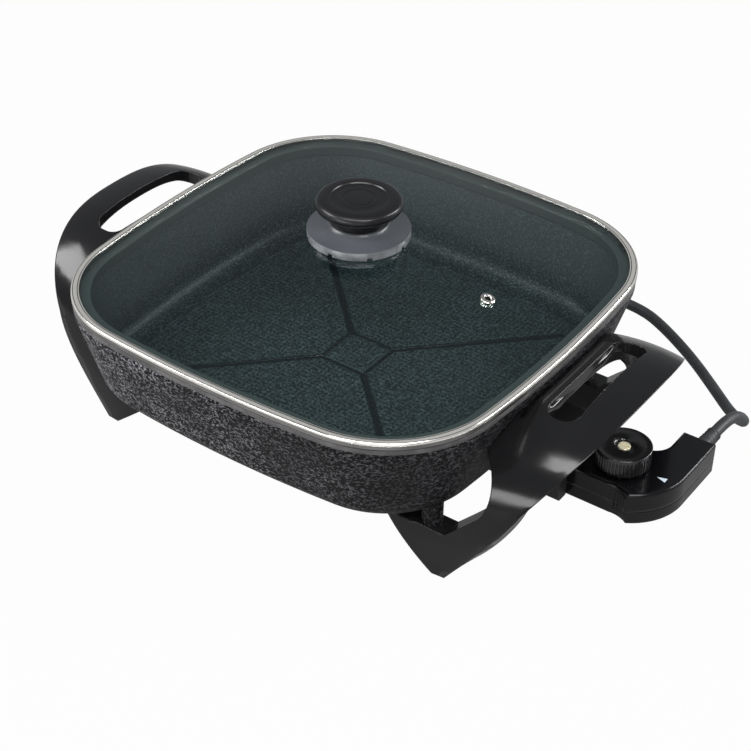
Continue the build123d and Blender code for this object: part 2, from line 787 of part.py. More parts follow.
def control_block():
    """The control's outside as one solid, with its rounded edges and grip ribs."""
    solid = extrude(Pos(0, 0, control_bottom_z) * control_plan(), amount=control_top_z - control_bottom_z)
    solid = fillet(solid.edges().group_by(Axis.Z)[-1], control_edge)
    solid = fillet(solid.edges().group_by(Axis.Z)[0], control_edge / 2)
    grip = grip_arc(control_shoulder())
    for index in range(grip_ribs):
        spot = grip @ ((index + 1) / (grip_ribs + 1))
        low, high = control_bottom_z + 2 * control_edge, control_top_z - 2 * control_edge
        solid += upright(grip_rib_radius, low, high, spot.X, spot.Y)
    return solid


def control_cavity():
    """The hollow inside the control's tail, behind the solid nose."""
    inside = offset(control_plan(), -control_wall)
    hollow = extrude(Pos(0, 0, control_bottom_z + control_wall) * inside,
                     amount=control_top_z - control_bottom_z - 2 * control_wall)
    return hollow & block(cavity_x, control_reach, -far, far, 0, far)


def shell_screw_places():
    """Where the two shells are screwed together."""
    beside = nose_half - control_wall - shell_boss_radius + shell_boss_merge
    near_x = cavity_x + shell_boss_radius - shell_boss_merge
    return [(near_x, beside), (near_x, -beside),
            (tail_middle_x, tail_end_y - control_wall - 2 * shell_boss_radius)]


def control_bores():
    """What passes through the shells: the pins' sockets, the rod, the shaft and the cord's neck."""
    bores = lying_x(rod_diameter / 2 + slip, nose_x - past, cavity_x + past, 0, control_z)
    for y in (-terminal_y, terminal_y):
        bores += lying_x(socket_radius + slip, nose_x - past, nose_x + socket_length + slip, y, element_z)
    shaft_bore = shaft_diameter / 2 + shaft_clearance
    bores += upright(shaft_bore, control_top_z - 2 * control_wall, control_top_z + past, dial_x, 0)
    neck = Pos(tail_middle_x, tail_end_y, cord_z) * Rot(90, 0, 0)
    return bores + neck * Cylinder(relief_neck_radius + slip, 4 * control_wall)


def make_upper_shell():
    """The control's upper shell, with its screw bosses and the shaft's hole."""
    shell = control_block() - control_cavity()
    for x, y in shell_screw_places():
        shell += upright(shell_boss_radius, control_seam_z, control_top_z - control_wall / 2, x, y)
    shell -= block(0, far, -far, far, 0, control_seam_z)
    for x, y in shell_screw_places():
        shell -= upright(screw_radius + slip, control_seam_z - past, shell_screw_tip_z + screw_room, x, y)
    return shell - control_bores()


def make_lower_shell():
    """The control's lower shell, with counterbored screw bosses, the ribs that carry the frame
    and a fine step along the seam."""
    shell = control_block() - control_cavity()
    for x, y in shell_screw_places():
        shell += upright(shell_boss_radius, control_bottom_z + control_wall / 2, control_seam_z, x, y)
    rib_low = control_bottom_z + control_wall / 2
    for x in frame_rib_places():
        shell += block(x, x + control_wall, -frame_half, frame_half, rib_low, frame_z)
    shell -= block(0, far, -far, far, control_seam_z, far)
    seam = Pos(0, 0, control_seam_z - seam_step) * (control_plan() - offset(control_plan(), -seam_step))
    shell -= extrude(seam, amount=2 * seam_step)
    for x, y in shell_screw_places():
        shell -= upright(screw_head_radius + screw_room, control_bottom_z - past, shell_web_z, x, y)
        shell -= upright(screw_radius + slip, control_bottom_z - past, control_seam_z + past, x, y)
    return shell - control_bores()


def make_shell_screws():
    """The screws that close the control."""
    length = shell_screw_tip_z - shell_web_z
    return [
        screw_up(screw_radius, screw_head_radius, length, x, y, shell_web_z)
        for x, y in shell_screw_places()
    ]


def frame_rib_places():
    """Where the lower shell's ribs stand under the frame's plate."""
    return [frame_start_x + 2 * frame_sheet + slip, dial_x + frame_half - control_wall]


def make_frame():
    """The thermostat's frame: a plate with an upright end for the rod and a bush for the shaft."""
    plate = block(frame_start_x, dial_x + frame_half, -frame_half, frame_half, frame_z, frame_z + frame_sheet)
    end = block(frame_start_x, frame_start_x + frame_sheet, -frame_half, frame_half, frame_z,
                control_top_z - control_wall - frame_clearance)
    bush = upright(shaft_diameter / 2 + bush_wall, frame_z, bush_top_z, dial_x, 0)
    frame = plate + end + bush
    shaft_bore = shaft_diameter / 2 + shaft_clearance
    frame -= upright(shaft_bore, frame_z + frame_sheet, bush_top_z + past, dial_x, 0)
    end_x = frame_start_x + frame_sheet + past
    return frame - lying_x(rod_diameter / 2 + slip, frame_start_x - past, end_x, 0, control_z)


def make_rod():
    """The sensing rod, with a collar against the nose and a rounded tip."""
    rod = lying_x(rod_diameter / 2, rod_tip_x, frame_start_x + 2 * frame_sheet, 0, control_z)
    rod = fillet(rod.edges().group_by(Axis.X)[0], rod_diameter * 0.4)
    return rod + lying_x(rod_flange_radius, nose_x - rod_flange_width, nose_x, 0, control_z)


def make_sockets():
    """Two sprung tubes that grip the element's pins."""
    sockets = []
    for y in (-terminal_y, terminal_y):
        tube = lying_x(socket_radius, nose_x, nose_x + socket_length, y, element_z)
        bore_end = nose_x + socket_length - socket_wall
        sockets.append(tube - lying_x(socket_bore, nose_x - past, bore_end, y, element_z))
    return sockets


def make_strain_relief():
    """The tapered sleeve that the cord leaves the control by, with soft ribs along it."""
    neck = relief_neck_radius
    collar = relief_radius + relief_collar
    start = relief_collar_length + relief_groove
    pitch = (relief_length - 2 * start) / relief_rings
    profile = [(0, -2 * control_wall), (neck, -2 * control_wall), (neck, 0), (collar, 0),
               (collar, relief_collar_length), (relief_radius, start)]
    for index in range(relief_rings):
        at = start + index * pitch
        radius = relief_radius + (relief_tip_radius - relief_radius) * (index + 0.5) / relief_rings
        profile += [(radius, at + pitch * 0.55), (radius - relief_groove, at + pitch * 0.65),
                    (radius - relief_groove, at + pitch * 0.95)]
    profile += [(relief_tip_radius, relief_length - start / 2), (relief_tip_radius, relief_length),
                (0, relief_length)]
    return Pos(tail_middle_x, tail_end_y, cord_z) * Rot(-90, 0, 0) * turned(profile)


def make_dial():
    """The fluted dial, with a smooth foot and rim and a recess for its screw."""
    outline = Circle(dial_radius)
    groove = Circle(dial_rib_depth)
    for location in PolarLocations(dial_radius, dial_ribs):
        outline -= location * groove
    grip_height = dial_height - dial_rim_height - dial_foot_height
    dial = upright(dial_radius - dial_rib_depth, dial_z, dial_z + dial_foot_height)
    dial += extrude(Pos(0, 0, dial_z + dial_foot_height) * outline, amount=grip_height)
    rim = upright(dial_radius, dial_top_z - dial_rim_height, dial_top_z)
    dial += chamfer(rim.edges().group_by(Axis.Z)[-1], dial_rim_edge)
    dial -= upright(dial_recess_radius, dial_top_z - dial_recess_depth, dial_top_z + past)
    dial = Pos(dial_x, 0, 0) * dial
    return dial - dial_shaft_solid(slip)


def dial_shaft_solid(grow=0.0):
    """The dial's shaft from the frame's plate up into the dial, with its flat, larger by grow."""
    low = frame_z + frame_sheet + slip - grow
    top = dial_top_z - dial_recess_depth - dial_insert_wall + grow
    shaft = upright(shaft_diameter / 2 + grow, low, top, dial_x, 0)
    flat_x = dial_x + shaft_diameter * 0.36 + grow
    return shaft - block(flat_x, flat_x + shaft_diameter, -shaft_diameter, shaft_diameter, dial_z, top + past)


def make_dial_screw():
    """The slotted setting screw in the dial's recess."""
    low = dial_top_z - dial_recess_depth
    screw = upright(dial_screw_radius, low, dial_top_z - dial_recess_depth / 4, dial_x, 0)
    screw = chamfer(screw.edges().group_by(Axis.Z)[-1], dial_rim_edge)
    slot = block(dial_x - dial_recess_radius, dial_x + dial_recess_radius, -screw_slot / 2, screw_slot / 2,
                 dial_top_z - dial_recess_depth * 0.6, dial_top_z + past)
    return screw - slot


def screw_up(shank_radius, head_radius, length, x, y, head_z):
    """A round-headed screw that points up, with the bearing face of its head at head_z."""
    low = head_z - screw_head_height
    head = upright(head_radius, low, head_z, x, y)
    head = fillet(head.edges().group_by(Axis.Z)[0], screw_head_height * 0.45)
    slot = block(x - head_radius, x + head_radius, y - screw_slot / 2, y + screw_slot / 2,
                 low - past, low + screw_head_height * 0.45)
    return upright(shank_radius, head_z, head_z + length, x, y) + head - slot


def cord_path(points, name):
    """Straight runs joined by tangent arcs, each as large as its two runs allow."""
    route = [Vector(*point) for point in points]
    runs = [after - before for before, after in zip(route, route[1:])]
    radii = []
    for before, after in zip(runs, runs[1:]):
        turn = radians(before.get_angle(after))
        radii.append(bend_share * min(before.length, after.length) / tan(turn / 2))
    print(name, "radii", [round(radius) for radius in radii], "runs", [round(run.length) for run in runs])
    return FilletPolyline(*points, radius=radii)


def half_turn(start, heading, radius):
    """A level half turn to the left from start, as two quarter arcs."""
    left = Vector(0, 0, 1).cross(heading)
    middle = start + (left + heading) * radius
    end = start + left * (2 * radius)
    first = TangentArc(start, middle, tangent=heading)
    return [first, TangentArc(middle, end, tangent=left)], end


def climbing_turn(start, heading, radius, climb):
    """A half turn to the left that climbs a layer, as two equal quarter arcs."""
    left = Vector(0, 0, 1).cross(heading)
    end = start + left * (2 * radius) + Vector(0, 0, climb)
    reach = (end - start).length / 2
    middle = (start + end) / 2 + heading * reach
    first = TangentArc(start, middle, tangent=heading)
    return [first, TangentArc(middle, end, tangent=(end - start).normalized())], end


def coil_path():
    """The coil's centre line: in by half turns, up a layer, and out again."""
    heading = Vector(-1, 0, 0)
    start = coil_middle + Vector(0, coil_outer_radius, coil_low_z)
    edges = [Line(start - heading * cord_diameter, start)]
    place = start
    steps_in = 2 * coil_turns_per_layer
    radii = [coil_outer_radius - coil_pitch / 2 * step for step in range(steps_in)]
    for radius in radii:
        turn, place = half_turn(place, heading, radius)
        edges += turn
        heading = -heading
    turn, place = climbing_turn(place, heading, radii[-1] - coil_pitch / 2, coil_pitch)
    edges += turn
    heading = -heading
    for radius in reversed(radii[1:]):
        turn, place = half_turn(place, heading, radius)
        edges += turn
        heading = -heading
    edges.append(Line(place, place + heading * cord_diameter))
    return Wire([edge for line in edges for edge in line.edges()])


def least_gap(path, diameter):
    """The smallest clear distance between the coil's turns, on points along it."""
    count = int(2 * path.length / diameter)
    points = [path @ (index / count) for index in range(count + 1)]
    apart = 8
    return min((points[i] - points[j]).length
               for i in range(count) for j in range(i + apart, count + 1)) - diameter


def make_tie():
    """A strap round the coil's side, lying under it on the table."""
    inner_turn = coil_outer_radius - (2 * coil_turns_per_layer - 1) * coil_pitch / 2
    outer_turn = coil_outer_radius - coil_pitch / 2
    aside = tie_width / 2 + coil_pitch / 2
    low_x = sqrt(inner_turn ** 2 - aside ** 2) - cord_radius - tie_gap
    high_x = outer_turn + cord_radius + tie_gap
    low_z = tie_thickness
    high_z = coil_low_z + coil_pitch + cord_radius + tie_gap
    width = high_x - low_x
    height = high_z - low_z
    ring = RectangleRounded(width + 2 * tie_thickness, height + 2 * tie_thickness, cord_radius)
    ring -= RectangleRounded(width, height, cord_radius - tie_thickness)
    place = coil_middle + Vector((low_x + high_x) / 2, tie_width / 2, (low_z + high_z) / 2)
    return Pos(place) * Rot(90, 0, 0) * extrude(ring, amount=tie_width)


def plug_place():
    """The end of the plug's cord, turned to the way that the cord runs there."""
    before, end = [Vector(*point) for point in tail_route[-2:]]
    run = end - before
    return Pos(end) * Rot(0, 0, degrees(atan2(run.Y, run.X)))


def make_plug_body():
    """A moulded plug: a tapered sleeve, a body that swells from it and a flat pin face."""
    sleeve = Rot(0, 90, 0) * turned([
        (0, 0), (relief_tip_radius, 0), (plug_sleeve_radius, plug_relief_length), (0, plug_relief_length)])
    facing = Plane.YZ
    small = RectangleRounded(2 * plug_sleeve_radius, 2 * plug_sleeve_radius, relief_radius)
    large = RectangleRounded(plug_width, plug_height, plug_corner)
    shoulder_x = plug_relief_length + plug_length * plug_shoulder_share
    back = loft([facing.offset(plug_relief_length) * small, facing.offset(shoulder_x) * large])
    front = extrude(facing.offset(shoulder_x) * large, amount=plug_length * (1 - plug_shoulder_share))
    body = sleeve + back + front
    for place in plug_pin_places():
        body -= place * Cylinder(plug_pin_root_radius, 2 * plug_pin_root)
    return plug_place() * body


def plug_pin_places():
    """The three pins' places on the plug's face: two in line and an earth pin beside them."""
    face_x = plug_relief_length + plug_length
    spots = [(-plug_pin_pitch / 2, 0), (plug_pin_pitch / 2, 0), (0, plug_earth_offset)]
    return [Pos(face_x, y, z) * Rot(0, 90, 0) for y, z in spots]


def make_plug_pins():
    """The plug's three round pins, rooted in its body."""
    pin = upright(plug_pin_diameter / 2, 0, plug_pin_length)
    pin = fillet(pin.edges().group_by(Axis.Z)[-1], plug_pin_diameter * 0.3)
    pin += upright(plug_pin_root_radius, -plug_pin_root, 0)
    return [plug_place() * place * pin for place in plug_pin_places()]


right_handle = make_right_handle()
middle_x = (control_reach - right_handle.bounding_box().max.X) / 2
coil_line = coil_path()
cord_section = Circle(cord_radius)
supply_line = cord_path(cord_route, "supply cord")
tail_line = cord_path(tail_route, "plug cord")

nodes = {
    "pan": make_pan(),
    "heating_element": make_element(),
    "terminal_pins": make_terminal_pins(),
    "sensor_well": make_sensor_well(),
    "terminal_guard": make_guard(),
    "guard_screws": make_guard_screws(),
    "right_handle": right_handle,
    "left_handle": mirror(right_handle, about=Plane.YZ),
    "leg_screws": make_leg_screws(),
    "lid_rim": make_lid_rim(),
    "lid_glass": make_glass(),
    "steam_vent": make_vent(),
    "knob_base": make_knob_base(),
    "lid_knob": make_knob(),
    "knob_washer": make_knob_washer(),
    "knob_screw": make_knob_screw(),
    "control_upper_shell": make_upper_shell(),
    "control_lower_shell": make_lower_shell(),
    "shell_screws": make_shell_screws(),
    "thermostat_frame": make_frame(),
    "sensing_rod": make_rod(),
    "pin_sockets": make_sockets(),
    "strain_relief": make_strain_relief(),
    "dial": make_dial(),
    "dial_screw": make_dial_screw(),
    "dial_shaft": dial_shaft_solid(),
    "supply_cord": along(supply_line, cord_section),
    "cord_coil": along(coil_line, cord_section),
    "cord_tie": make_tie(),
    "plug_cord": along(tail_line, cord_section),
    "plug_body": make_plug_body(),
    "plug_pins": make_plug_pins(),
}

for name, line in (("supply_cord", supply_line), ("cord_coil", coil_line), ("plug_cord", tail_line)):
    tube = nodes[name].volume / (pi * cord_radius ** 2)
    print(name, "length", round(line.length, 1), "mm, tube", round(tube, 1), "mm")
print("coil's least gap", round(least_gap(coil_line, cord_diameter), 2), "mm")

os.makedirs("parts", exist_ok=True)
for name, shape in nodes.items():
    solids = shape if isinstance(shape, list) else shape.solids()
    placed = Compound(children=[Pos(-middle_x, 0, 0) * solid for piece in solids for solid in piece.solids()])
    export_step(placed, f"parts/{name}.step")
print("moved by", round(-middle_x, 3), "mm in X;", len(nodes), "nodes")
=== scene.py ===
"""A square electric skillet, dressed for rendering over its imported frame.

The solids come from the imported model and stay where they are. This script gives each of them
its finish, softens the edges that show, and adds the free cord, the control's mark, the camera
and the studio. Lengths are metres in the row frame where nothing else is said: +X towards the
heat control, -Y to the front, +Z up from the table.
"""

import json
import logging
import math
from dataclasses import dataclass, field
from enum import Enum
from functools import cached_property

import bmesh
import bpy
from mathutils import Matrix, Vector


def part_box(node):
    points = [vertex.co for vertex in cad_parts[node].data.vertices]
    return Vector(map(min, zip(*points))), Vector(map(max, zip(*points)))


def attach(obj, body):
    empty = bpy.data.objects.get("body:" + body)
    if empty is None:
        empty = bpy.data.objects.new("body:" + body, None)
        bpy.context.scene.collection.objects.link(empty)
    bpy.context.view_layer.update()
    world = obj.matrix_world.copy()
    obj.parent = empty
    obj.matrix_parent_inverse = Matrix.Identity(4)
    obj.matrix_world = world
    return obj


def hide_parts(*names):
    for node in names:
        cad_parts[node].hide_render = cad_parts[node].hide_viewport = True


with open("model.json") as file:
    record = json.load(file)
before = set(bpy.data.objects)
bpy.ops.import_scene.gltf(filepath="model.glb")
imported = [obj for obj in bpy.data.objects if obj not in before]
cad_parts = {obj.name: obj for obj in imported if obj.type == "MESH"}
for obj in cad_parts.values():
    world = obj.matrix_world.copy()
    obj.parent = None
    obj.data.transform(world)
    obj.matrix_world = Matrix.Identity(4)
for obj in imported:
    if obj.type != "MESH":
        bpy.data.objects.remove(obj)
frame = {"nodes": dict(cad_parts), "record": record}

log = logging.getLogger("skillet")
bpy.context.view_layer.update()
PAN_LOW, PAN_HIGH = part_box("pan")
PAN_CENTRE = (PAN_LOW + PAN_HIGH) / 2
MM = 0.001
TOUCHING = 1e-6                      # metres within which two points are one
BRUSHING = (900.0, 900.0, 90.0)      # cells per metre of a brushed surface's fine lines
Colour = tuple[float, float, float, float]


class Body(Enum):
    """The bodies that pieces ride on."""

    SKILLET = "skillet"
    LID = "lid"
    CONTROL = "control"
    DIAL = "dial"


class Wire:
    """One socket of a node tree, with arithmetic that adds the nodes it needs."""

    def __init__(self, graph: "Graph", socket: bpy.types.NodeSocket) -> None:
        """Wraps a socket.

        Args:
            graph: The graph that the socket belongs to.
            socket: The output socket.
        """
        self.graph = graph
        self.socket = socket

    def _math(self, operation: str, *values: "Wire | float") -> "Wire":
        """Adds a Math node.

        Args:
            operation: The node's operation.
            values: Its operands in order.

        Returns:
            The node's output.
        """
        return self.graph.node("ShaderNodeMath", {"operation": operation}, dict(enumerate(values)))

    def __add__(self, other: "Wire | float") -> "Wire":
        """Sum."""
        return self._math("ADD", self, other)

    __radd__ = __add__

    def __sub__(self, other: "Wire | float") -> "Wire":
        """Difference."""
        return self._math("SUBTRACT", self, other)

    def __rsub__(self, other: "Wire | float") -> "Wire":
        """Difference from a value."""
        return self._math("SUBTRACT", other, self)

    def __mul__(self, other: "Wire | float") -> "Wire":
        """Product."""
        return self._math("MULTIPLY", self, other)

    def __truediv__(self, other: "Wire | float") -> "Wire":
        """Quotient."""
        return self._math("DIVIDE", self, other)

    def __pow__(self, other: "Wire | float") -> "Wire":
        """Power."""
        return self._math("POWER", self, other)

    def __gt__(self, other: "Wire | float") -> "Wire":
        """One where this is greater."""
        return self._math("GREATER_THAN", self, other)

    def __lt__(self, other: "Wire | float") -> "Wire":
        """One where this is less."""
        return self._math("LESS_THAN", self, other)

    def __abs__(self) -> "Wire":
        """Absolute value."""
        return self._math("ABSOLUTE", self)

    def least(self, other: "Wire | float") -> "Wire":
        """The lesser of two values."""
        return self._math("MINIMUM", self, other)

    def most(self, other: "Wire | float") -> "Wire":
        """The greater of two values."""
        return self._math("MAXIMUM", self, other)

    def wrapped(self, pitch: float) -> "Wire":
        """Folds the value back and forth every pitch."""
        return self._math("PINGPONG", self, pitch)

    def ramp(self, low: float, high: float) -> "Wire":
        """Zero at low, one at high, smooth between.

        Args:
            low: The value that gives zero.
            high: The value that gives one.

        Returns:
            The smooth step.
        """
        return self.graph.node("ShaderNodeMapRange", {"interpolation_type": "SMOOTHSTEP"},
                               {"Value": self, "From Min": low, "From Max": high})


class Graph:
    """The node tree of a material or the world, and the few nodes that every finish needs."""

    def __init__(self, name: str, world: bool = False) -> None:
        """Starts an empty tree.

        Args:
            name: The name of the material or world.
            world: Whether the tree is a world's.
        """
        self.owner = bpy.data.worlds.new(name) if world else bpy.data.materials.new(name)
        self.owner.use_nodes = True
        self.output_kind = "ShaderNodeOutputWorld" if world else "ShaderNodeOutputMaterial"
        self.tree = self.owner.node_tree
        self.tree.nodes.clear()

    @cached_property
    def place(self) -> Wire:
        """The object's own coordinates."""
        return self.node("ShaderNodeTexCoord", output="Object")

    def node(self, kind: str, settings: dict | None = None, inputs: dict | None = None,
             output: str | int = 0) -> Wire:
        """Adds one node.

        Args:
            kind: The node's type.
            settings: Its own settings.
            inputs: Values or wires for its sockets, by name or number.
            output: The output to return.

        Returns:
            The chosen output.
        """
        made = self.tree.nodes.new(kind)
        for name, value in (settings or {}).items():
            setattr(made, name, value)
        for name, value in (inputs or {}).items():
            self.feed(made.inputs[name], value)
        return Wire(self, made.outputs[output])

    def feed(self, socket: bpy.types.NodeSocket, value: "Wire | float | tuple") -> None:
        """Gives a socket a wire or a value of its own.

        Args:
            socket: The input socket.
            value: The wire or value.
        """
        if isinstance(value, Wire):
            self.tree.links.new(value.socket, socket)
        else:
            socket.default_value = value

    def parts(self, vector: Wire) -> tuple[Wire, Wire, Wire]:
        """Takes a vector apart.

        Args:
            vector: The vector.

        Returns:
            Its X, Y and Z.
        """
        outputs = self.node("ShaderNodeSeparateXYZ", inputs={0: vector}).socket.node.outputs
        return tuple(Wire(self, outputs[i]) for i in range(3))

    def noise(self, scale: float, detail: float = 2.0, roughness: float = 0.5,
              vector: Wire | None = None) -> Wire:
        """A noise pattern from 0 to 1.

        Args:
            scale: Cells per metre.
            detail: Octaves.
            roughness: How strong the finer octaves are.
            vector: Coordinates in place of the object's own.

        Returns:
            The noise value.
        """
        return self.node("ShaderNodeTexNoise", inputs={
            "Vector": vector or self.place, "Scale": scale, "Detail": detail, "Roughness": roughness})

    def stretched(self, scale: tuple[float, float, float]) -> Wire:
        """Object coordinates scaled along each axis."""
        return self.node("ShaderNodeMapping", {"vector_type": "POINT"},
                         {"Vector": self.place, "Scale": scale})

    def brushed(self) -> Wire:
        """The fine lines of a brushed surface, from 0 to 1."""
        return self.noise(1.0, vector=self.stretched(BRUSHING))

    def ray(self, kind: str) -> Wire:
        """One where the light path is of a kind, such as Is Camera Ray."""
        return self.node("ShaderNodeLightPath", output=kind)

    def blend(self, share: Wire | float, low: "Wire | tuple", high: "Wire | tuple") -> Wire:
        """Mixes two colours.

        Args:
            share: The share of the second colour.
            low: The first colour.
            high: The second colour.

        Returns:
            The mixed colour.
        """
        made = self.tree.nodes.new("ShaderNodeMix")
        made.data_type = "RGBA"
        sockets = [s for s in made.inputs if s.enabled]
        for socket, value in zip(sockets, (share, low, high)):
            self.feed(socket, value)
        return Wire(self, next(s for s in made.outputs if s.enabled))

    def bump(self, height: Wire, distance: float, strength: float = 1.0, below: Wire | None = None) -> Wire:
        """A normal from a height.

        Args:
            height: The height, about 0 to 1.
            distance: Its real height in metres.
            strength: The node's strength.
            below: A normal to build on.

        Returns:
            The normal.
        """
        inputs = {"Height": height, "Distance": distance, "Strength": strength}
        if below is not None:
            inputs["Normal"] = below
        return self.node("ShaderNodeBump", inputs=inputs)

    def rounded(self, radius: float) -> Wire:
        """The normal of a surface whose edges are moulded round at a radius in metres."""
        return self.node("ShaderNodeBevel", {"samples": 8}, {"Radius": radius})

    def surface(self, shader: Wire) -> "bpy.types.Material | bpy.types.World":
        """Ends the tree.

        Args:
            shader: The surface shader.

        Returns:
            The material or world.
        """
        end = self.tree.nodes.new(self.output_kind)
        self.tree.links.new(shader.socket, end.inputs["Surface"])
        return self.owner

    def principled(self, **inputs: "Wire | float | tuple") -> Wire:
        """A Principled shader; words joined by _ name its sockets.

        Args:
            inputs: Values or wires, such as Base_Color.

        Returns:
            The shader's output.
        """
        named = {name.replace("_", " "): value for name, value in inputs.items()}
        return self.node("ShaderNodeBsdfPrincipled", inputs=named)


def rgb(red: float, green: float, blue: float) -> Colour:
    """A colour with full alpha."""
    return (red, green, blue, 1.0)


def scaled(colour: Colour, factor: float) -> Colour:
    """A lighter or darker copy of a colour."""
    return rgb(*(channel * factor for channel in colour[:3]))


@dataclass(frozen=True)
class GlossMoulding:
    """Black phenolic moulding: glossy, with round edges and faint flow and handling marks."""

    name: str
    shade: Colour = rgb(0.006, 0.006, 0.0065)
    roughness: float = 0.11
    mirror: float = 0.34
    edge: float = 1.2 * MM
    cloud_cells: float = 14.0
    grain_cells: float = 1400.0
    grain_height: float = 0.01 * MM
    flow_cells: float = 42.0
    flow_height: float = 0.15 * MM

    def make(self) -> bpy.types.Material:
        """Builds the material.

        Returns:
            The material.
        """
        g = Graph(self.name)
        cloud = g.noise(self.cloud_cells, 3.0)
        grain = g.noise(self.grain_cells)
        colour = g.blend(cloud.ramp(0.35, 0.75), self.shade, scaled(self.shade, 1.6))
        rough = self.roughness + cloud * 0.07 + grain * 0.02
        flow = g.bump(g.noise(self.flow_cells), self.flow_height, 0.1, g.rounded(self.edge))
        return g.surface(g.principled(Base_Color=colour, Roughness=rough, Specular_IOR_Level=self.mirror,
                                      Normal=g.bump(grain, self.grain_height, 0.2, flow)))


@dataclass(frozen=True)
class SatinMoulding:
    """Dark moulding with a fine, dull grain, and below a height where one is given a paler, partly metallic
    band that is painted sheen.
    """

    name: str
    shade: Colour = rgb(0.016, 0.017, 0.019)
    roughness: float = 0.38
    grain_cells: float = 2600.0
    grain_height: float = 0.03 * MM
    cloud_cells: float = 30.0
    # painted sheen: the height below which a pale band is painted, and that band's shades
    sheen_band_below: float = 0.0
    sheen_band_shade: Colour = rgb(0.42, 0.43, 0.45)
    sheen_mottle_cells: float = 120.0
    edge: float = 0.0
    mirror: float = 0.5

    def make(self) -> bpy.types.Material:
        """Builds the material.

        Returns:
            The material.
        """
        g = Graph(self.name)
        grain = g.noise(self.grain_cells, 3.0, 0.6)
        cloud = g.noise(self.cloud_cells)
        colour = g.blend(grain.ramp(0.3, 0.8), self.shade, scaled(self.shade, 1.6))
        rough = self.roughness + (cloud - 0.5) * 0.12
        metallic = 0.0
        if self.sheen_band_below > 0:
            # painted sheen: below the height the colour is painted pale, with a mottled tone, to stand in for
            # the light that the skirt catches
            band = g.parts(g.place)[2] < self.sheen_band_below
            sheen_mottle = g.noise(self.sheen_mottle_cells).ramp(0.3, 0.7)
            colour = g.blend(band, colour, g.blend(sheen_mottle, self.sheen_band_shade, scaled(self.sheen_band_shade, 0.55)))
            metallic = band * 0.6
        below = g.rounded(self.edge) if self.edge > 0 else None
        return g.surface(g.principled(Base_Color=colour, Roughness=rough, Metallic=metallic,
                                      Specular_IOR_Level=self.mirror,
                                      Normal=g.bump(grain, self.grain_height, 0.5, below)))


@dataclass(frozen=True)
class Metal:
    """Bare metal with a fine directional grain and a little tarnish."""

    name: str
    shade: Colour = rgb(0.72, 0.7, 0.66)
    roughness: float = 0.16
    tarnish: float = 0.08
    metallic: float = 1.0
    cloud_cells: float = 45.0
    line_height: float = 0.01 * MM

    def make(self) -> bpy.types.Material:
        """Builds the material.

        Returns:
            The material.
        """
        g = Graph(self.name)
        lines = g.brushed()
        cloud = g.noise(self.cloud_cells)
        colour = g.blend(cloud.ramp(0.45, 0.85), self.shade, scaled(self.shade, 0.72))
        rough = self.roughness + (lines - 0.5) * self.tarnish + cloud * 0.04
        return g.surface(g.principled(Base_Color=colour, Metallic=self.metallic, Roughness=rough,
                                      Normal=g.bump(lines, self.line_height, 0.3)))


@dataclass(frozen=True)
class Rubber:
    """Soft black sheath or sleeve with a little dust."""

    name: str
    shade: Colour = rgb(0.02, 0.022, 0.024)
    roughness: float = 0.52
    dust_cells: float = 90.0
    grain_cells: float = 1800.0
    grain_height: float = 0.03 * MM

    def make(self) -> bpy.types.Material:
        """Builds the material.

        Returns:
            The material.
        """
        g = Graph(self.name)
        dust = g.noise(self.dust_cells, 3.0, 0.6)
        grain = g.noise(self.grain_cells)
        colour = g.blend(dust.ramp(0.4, 0.8), self.shade, scaled(self.shade, 1.7))
        rough = self.roughness + (dust - 0.5) * 0.15
        return g.surface(g.principled(Base_Color=colour, Roughness=rough,
                                      Normal=g.bump(grain, self.grain_height, 0.4)))


@dataclass(frozen=True)
class LidOutline:
    """The lid seen from above: a square with bowed sides and round corners."""

    half: float = 153.0 * MM
    corner: float = 77.4 * MM
    bow: float = 3.2 * MM

    def inset(self, x: Wire, y: Wire) -> Wire:
        """How far inside the outline a point lies.

        Args:
            x: The point's X from the lid's middle.
            y: The point's Y.

        Returns:
            The distance in metres.
        """
        chord = self.half - self.corner
        side = (chord ** 2 + self.bow ** 2) / (2 * self.bow)
        side_centre = self.half - side
        corner_centre = (side_centre + math.sqrt(2 * (side - self.corner) ** 2 - side_centre ** 2)) / 2
        wide, narrow = abs(x).most(abs(y)), abs(x).least(abs(y))
        from_side = side - ((wide - side_centre) ** 2 + narrow ** 2) ** 0.5
        from_corner = self.corner - ((wide - corner_centre) ** 2 + (narrow - corner_centre) ** 2) ** 0.5
        slope = corner_centre / (corner_centre - side_centre)
        at_corner = narrow > (wide - side_centre) * slope
        return from_side + (from_corner - from_side) * at_corner


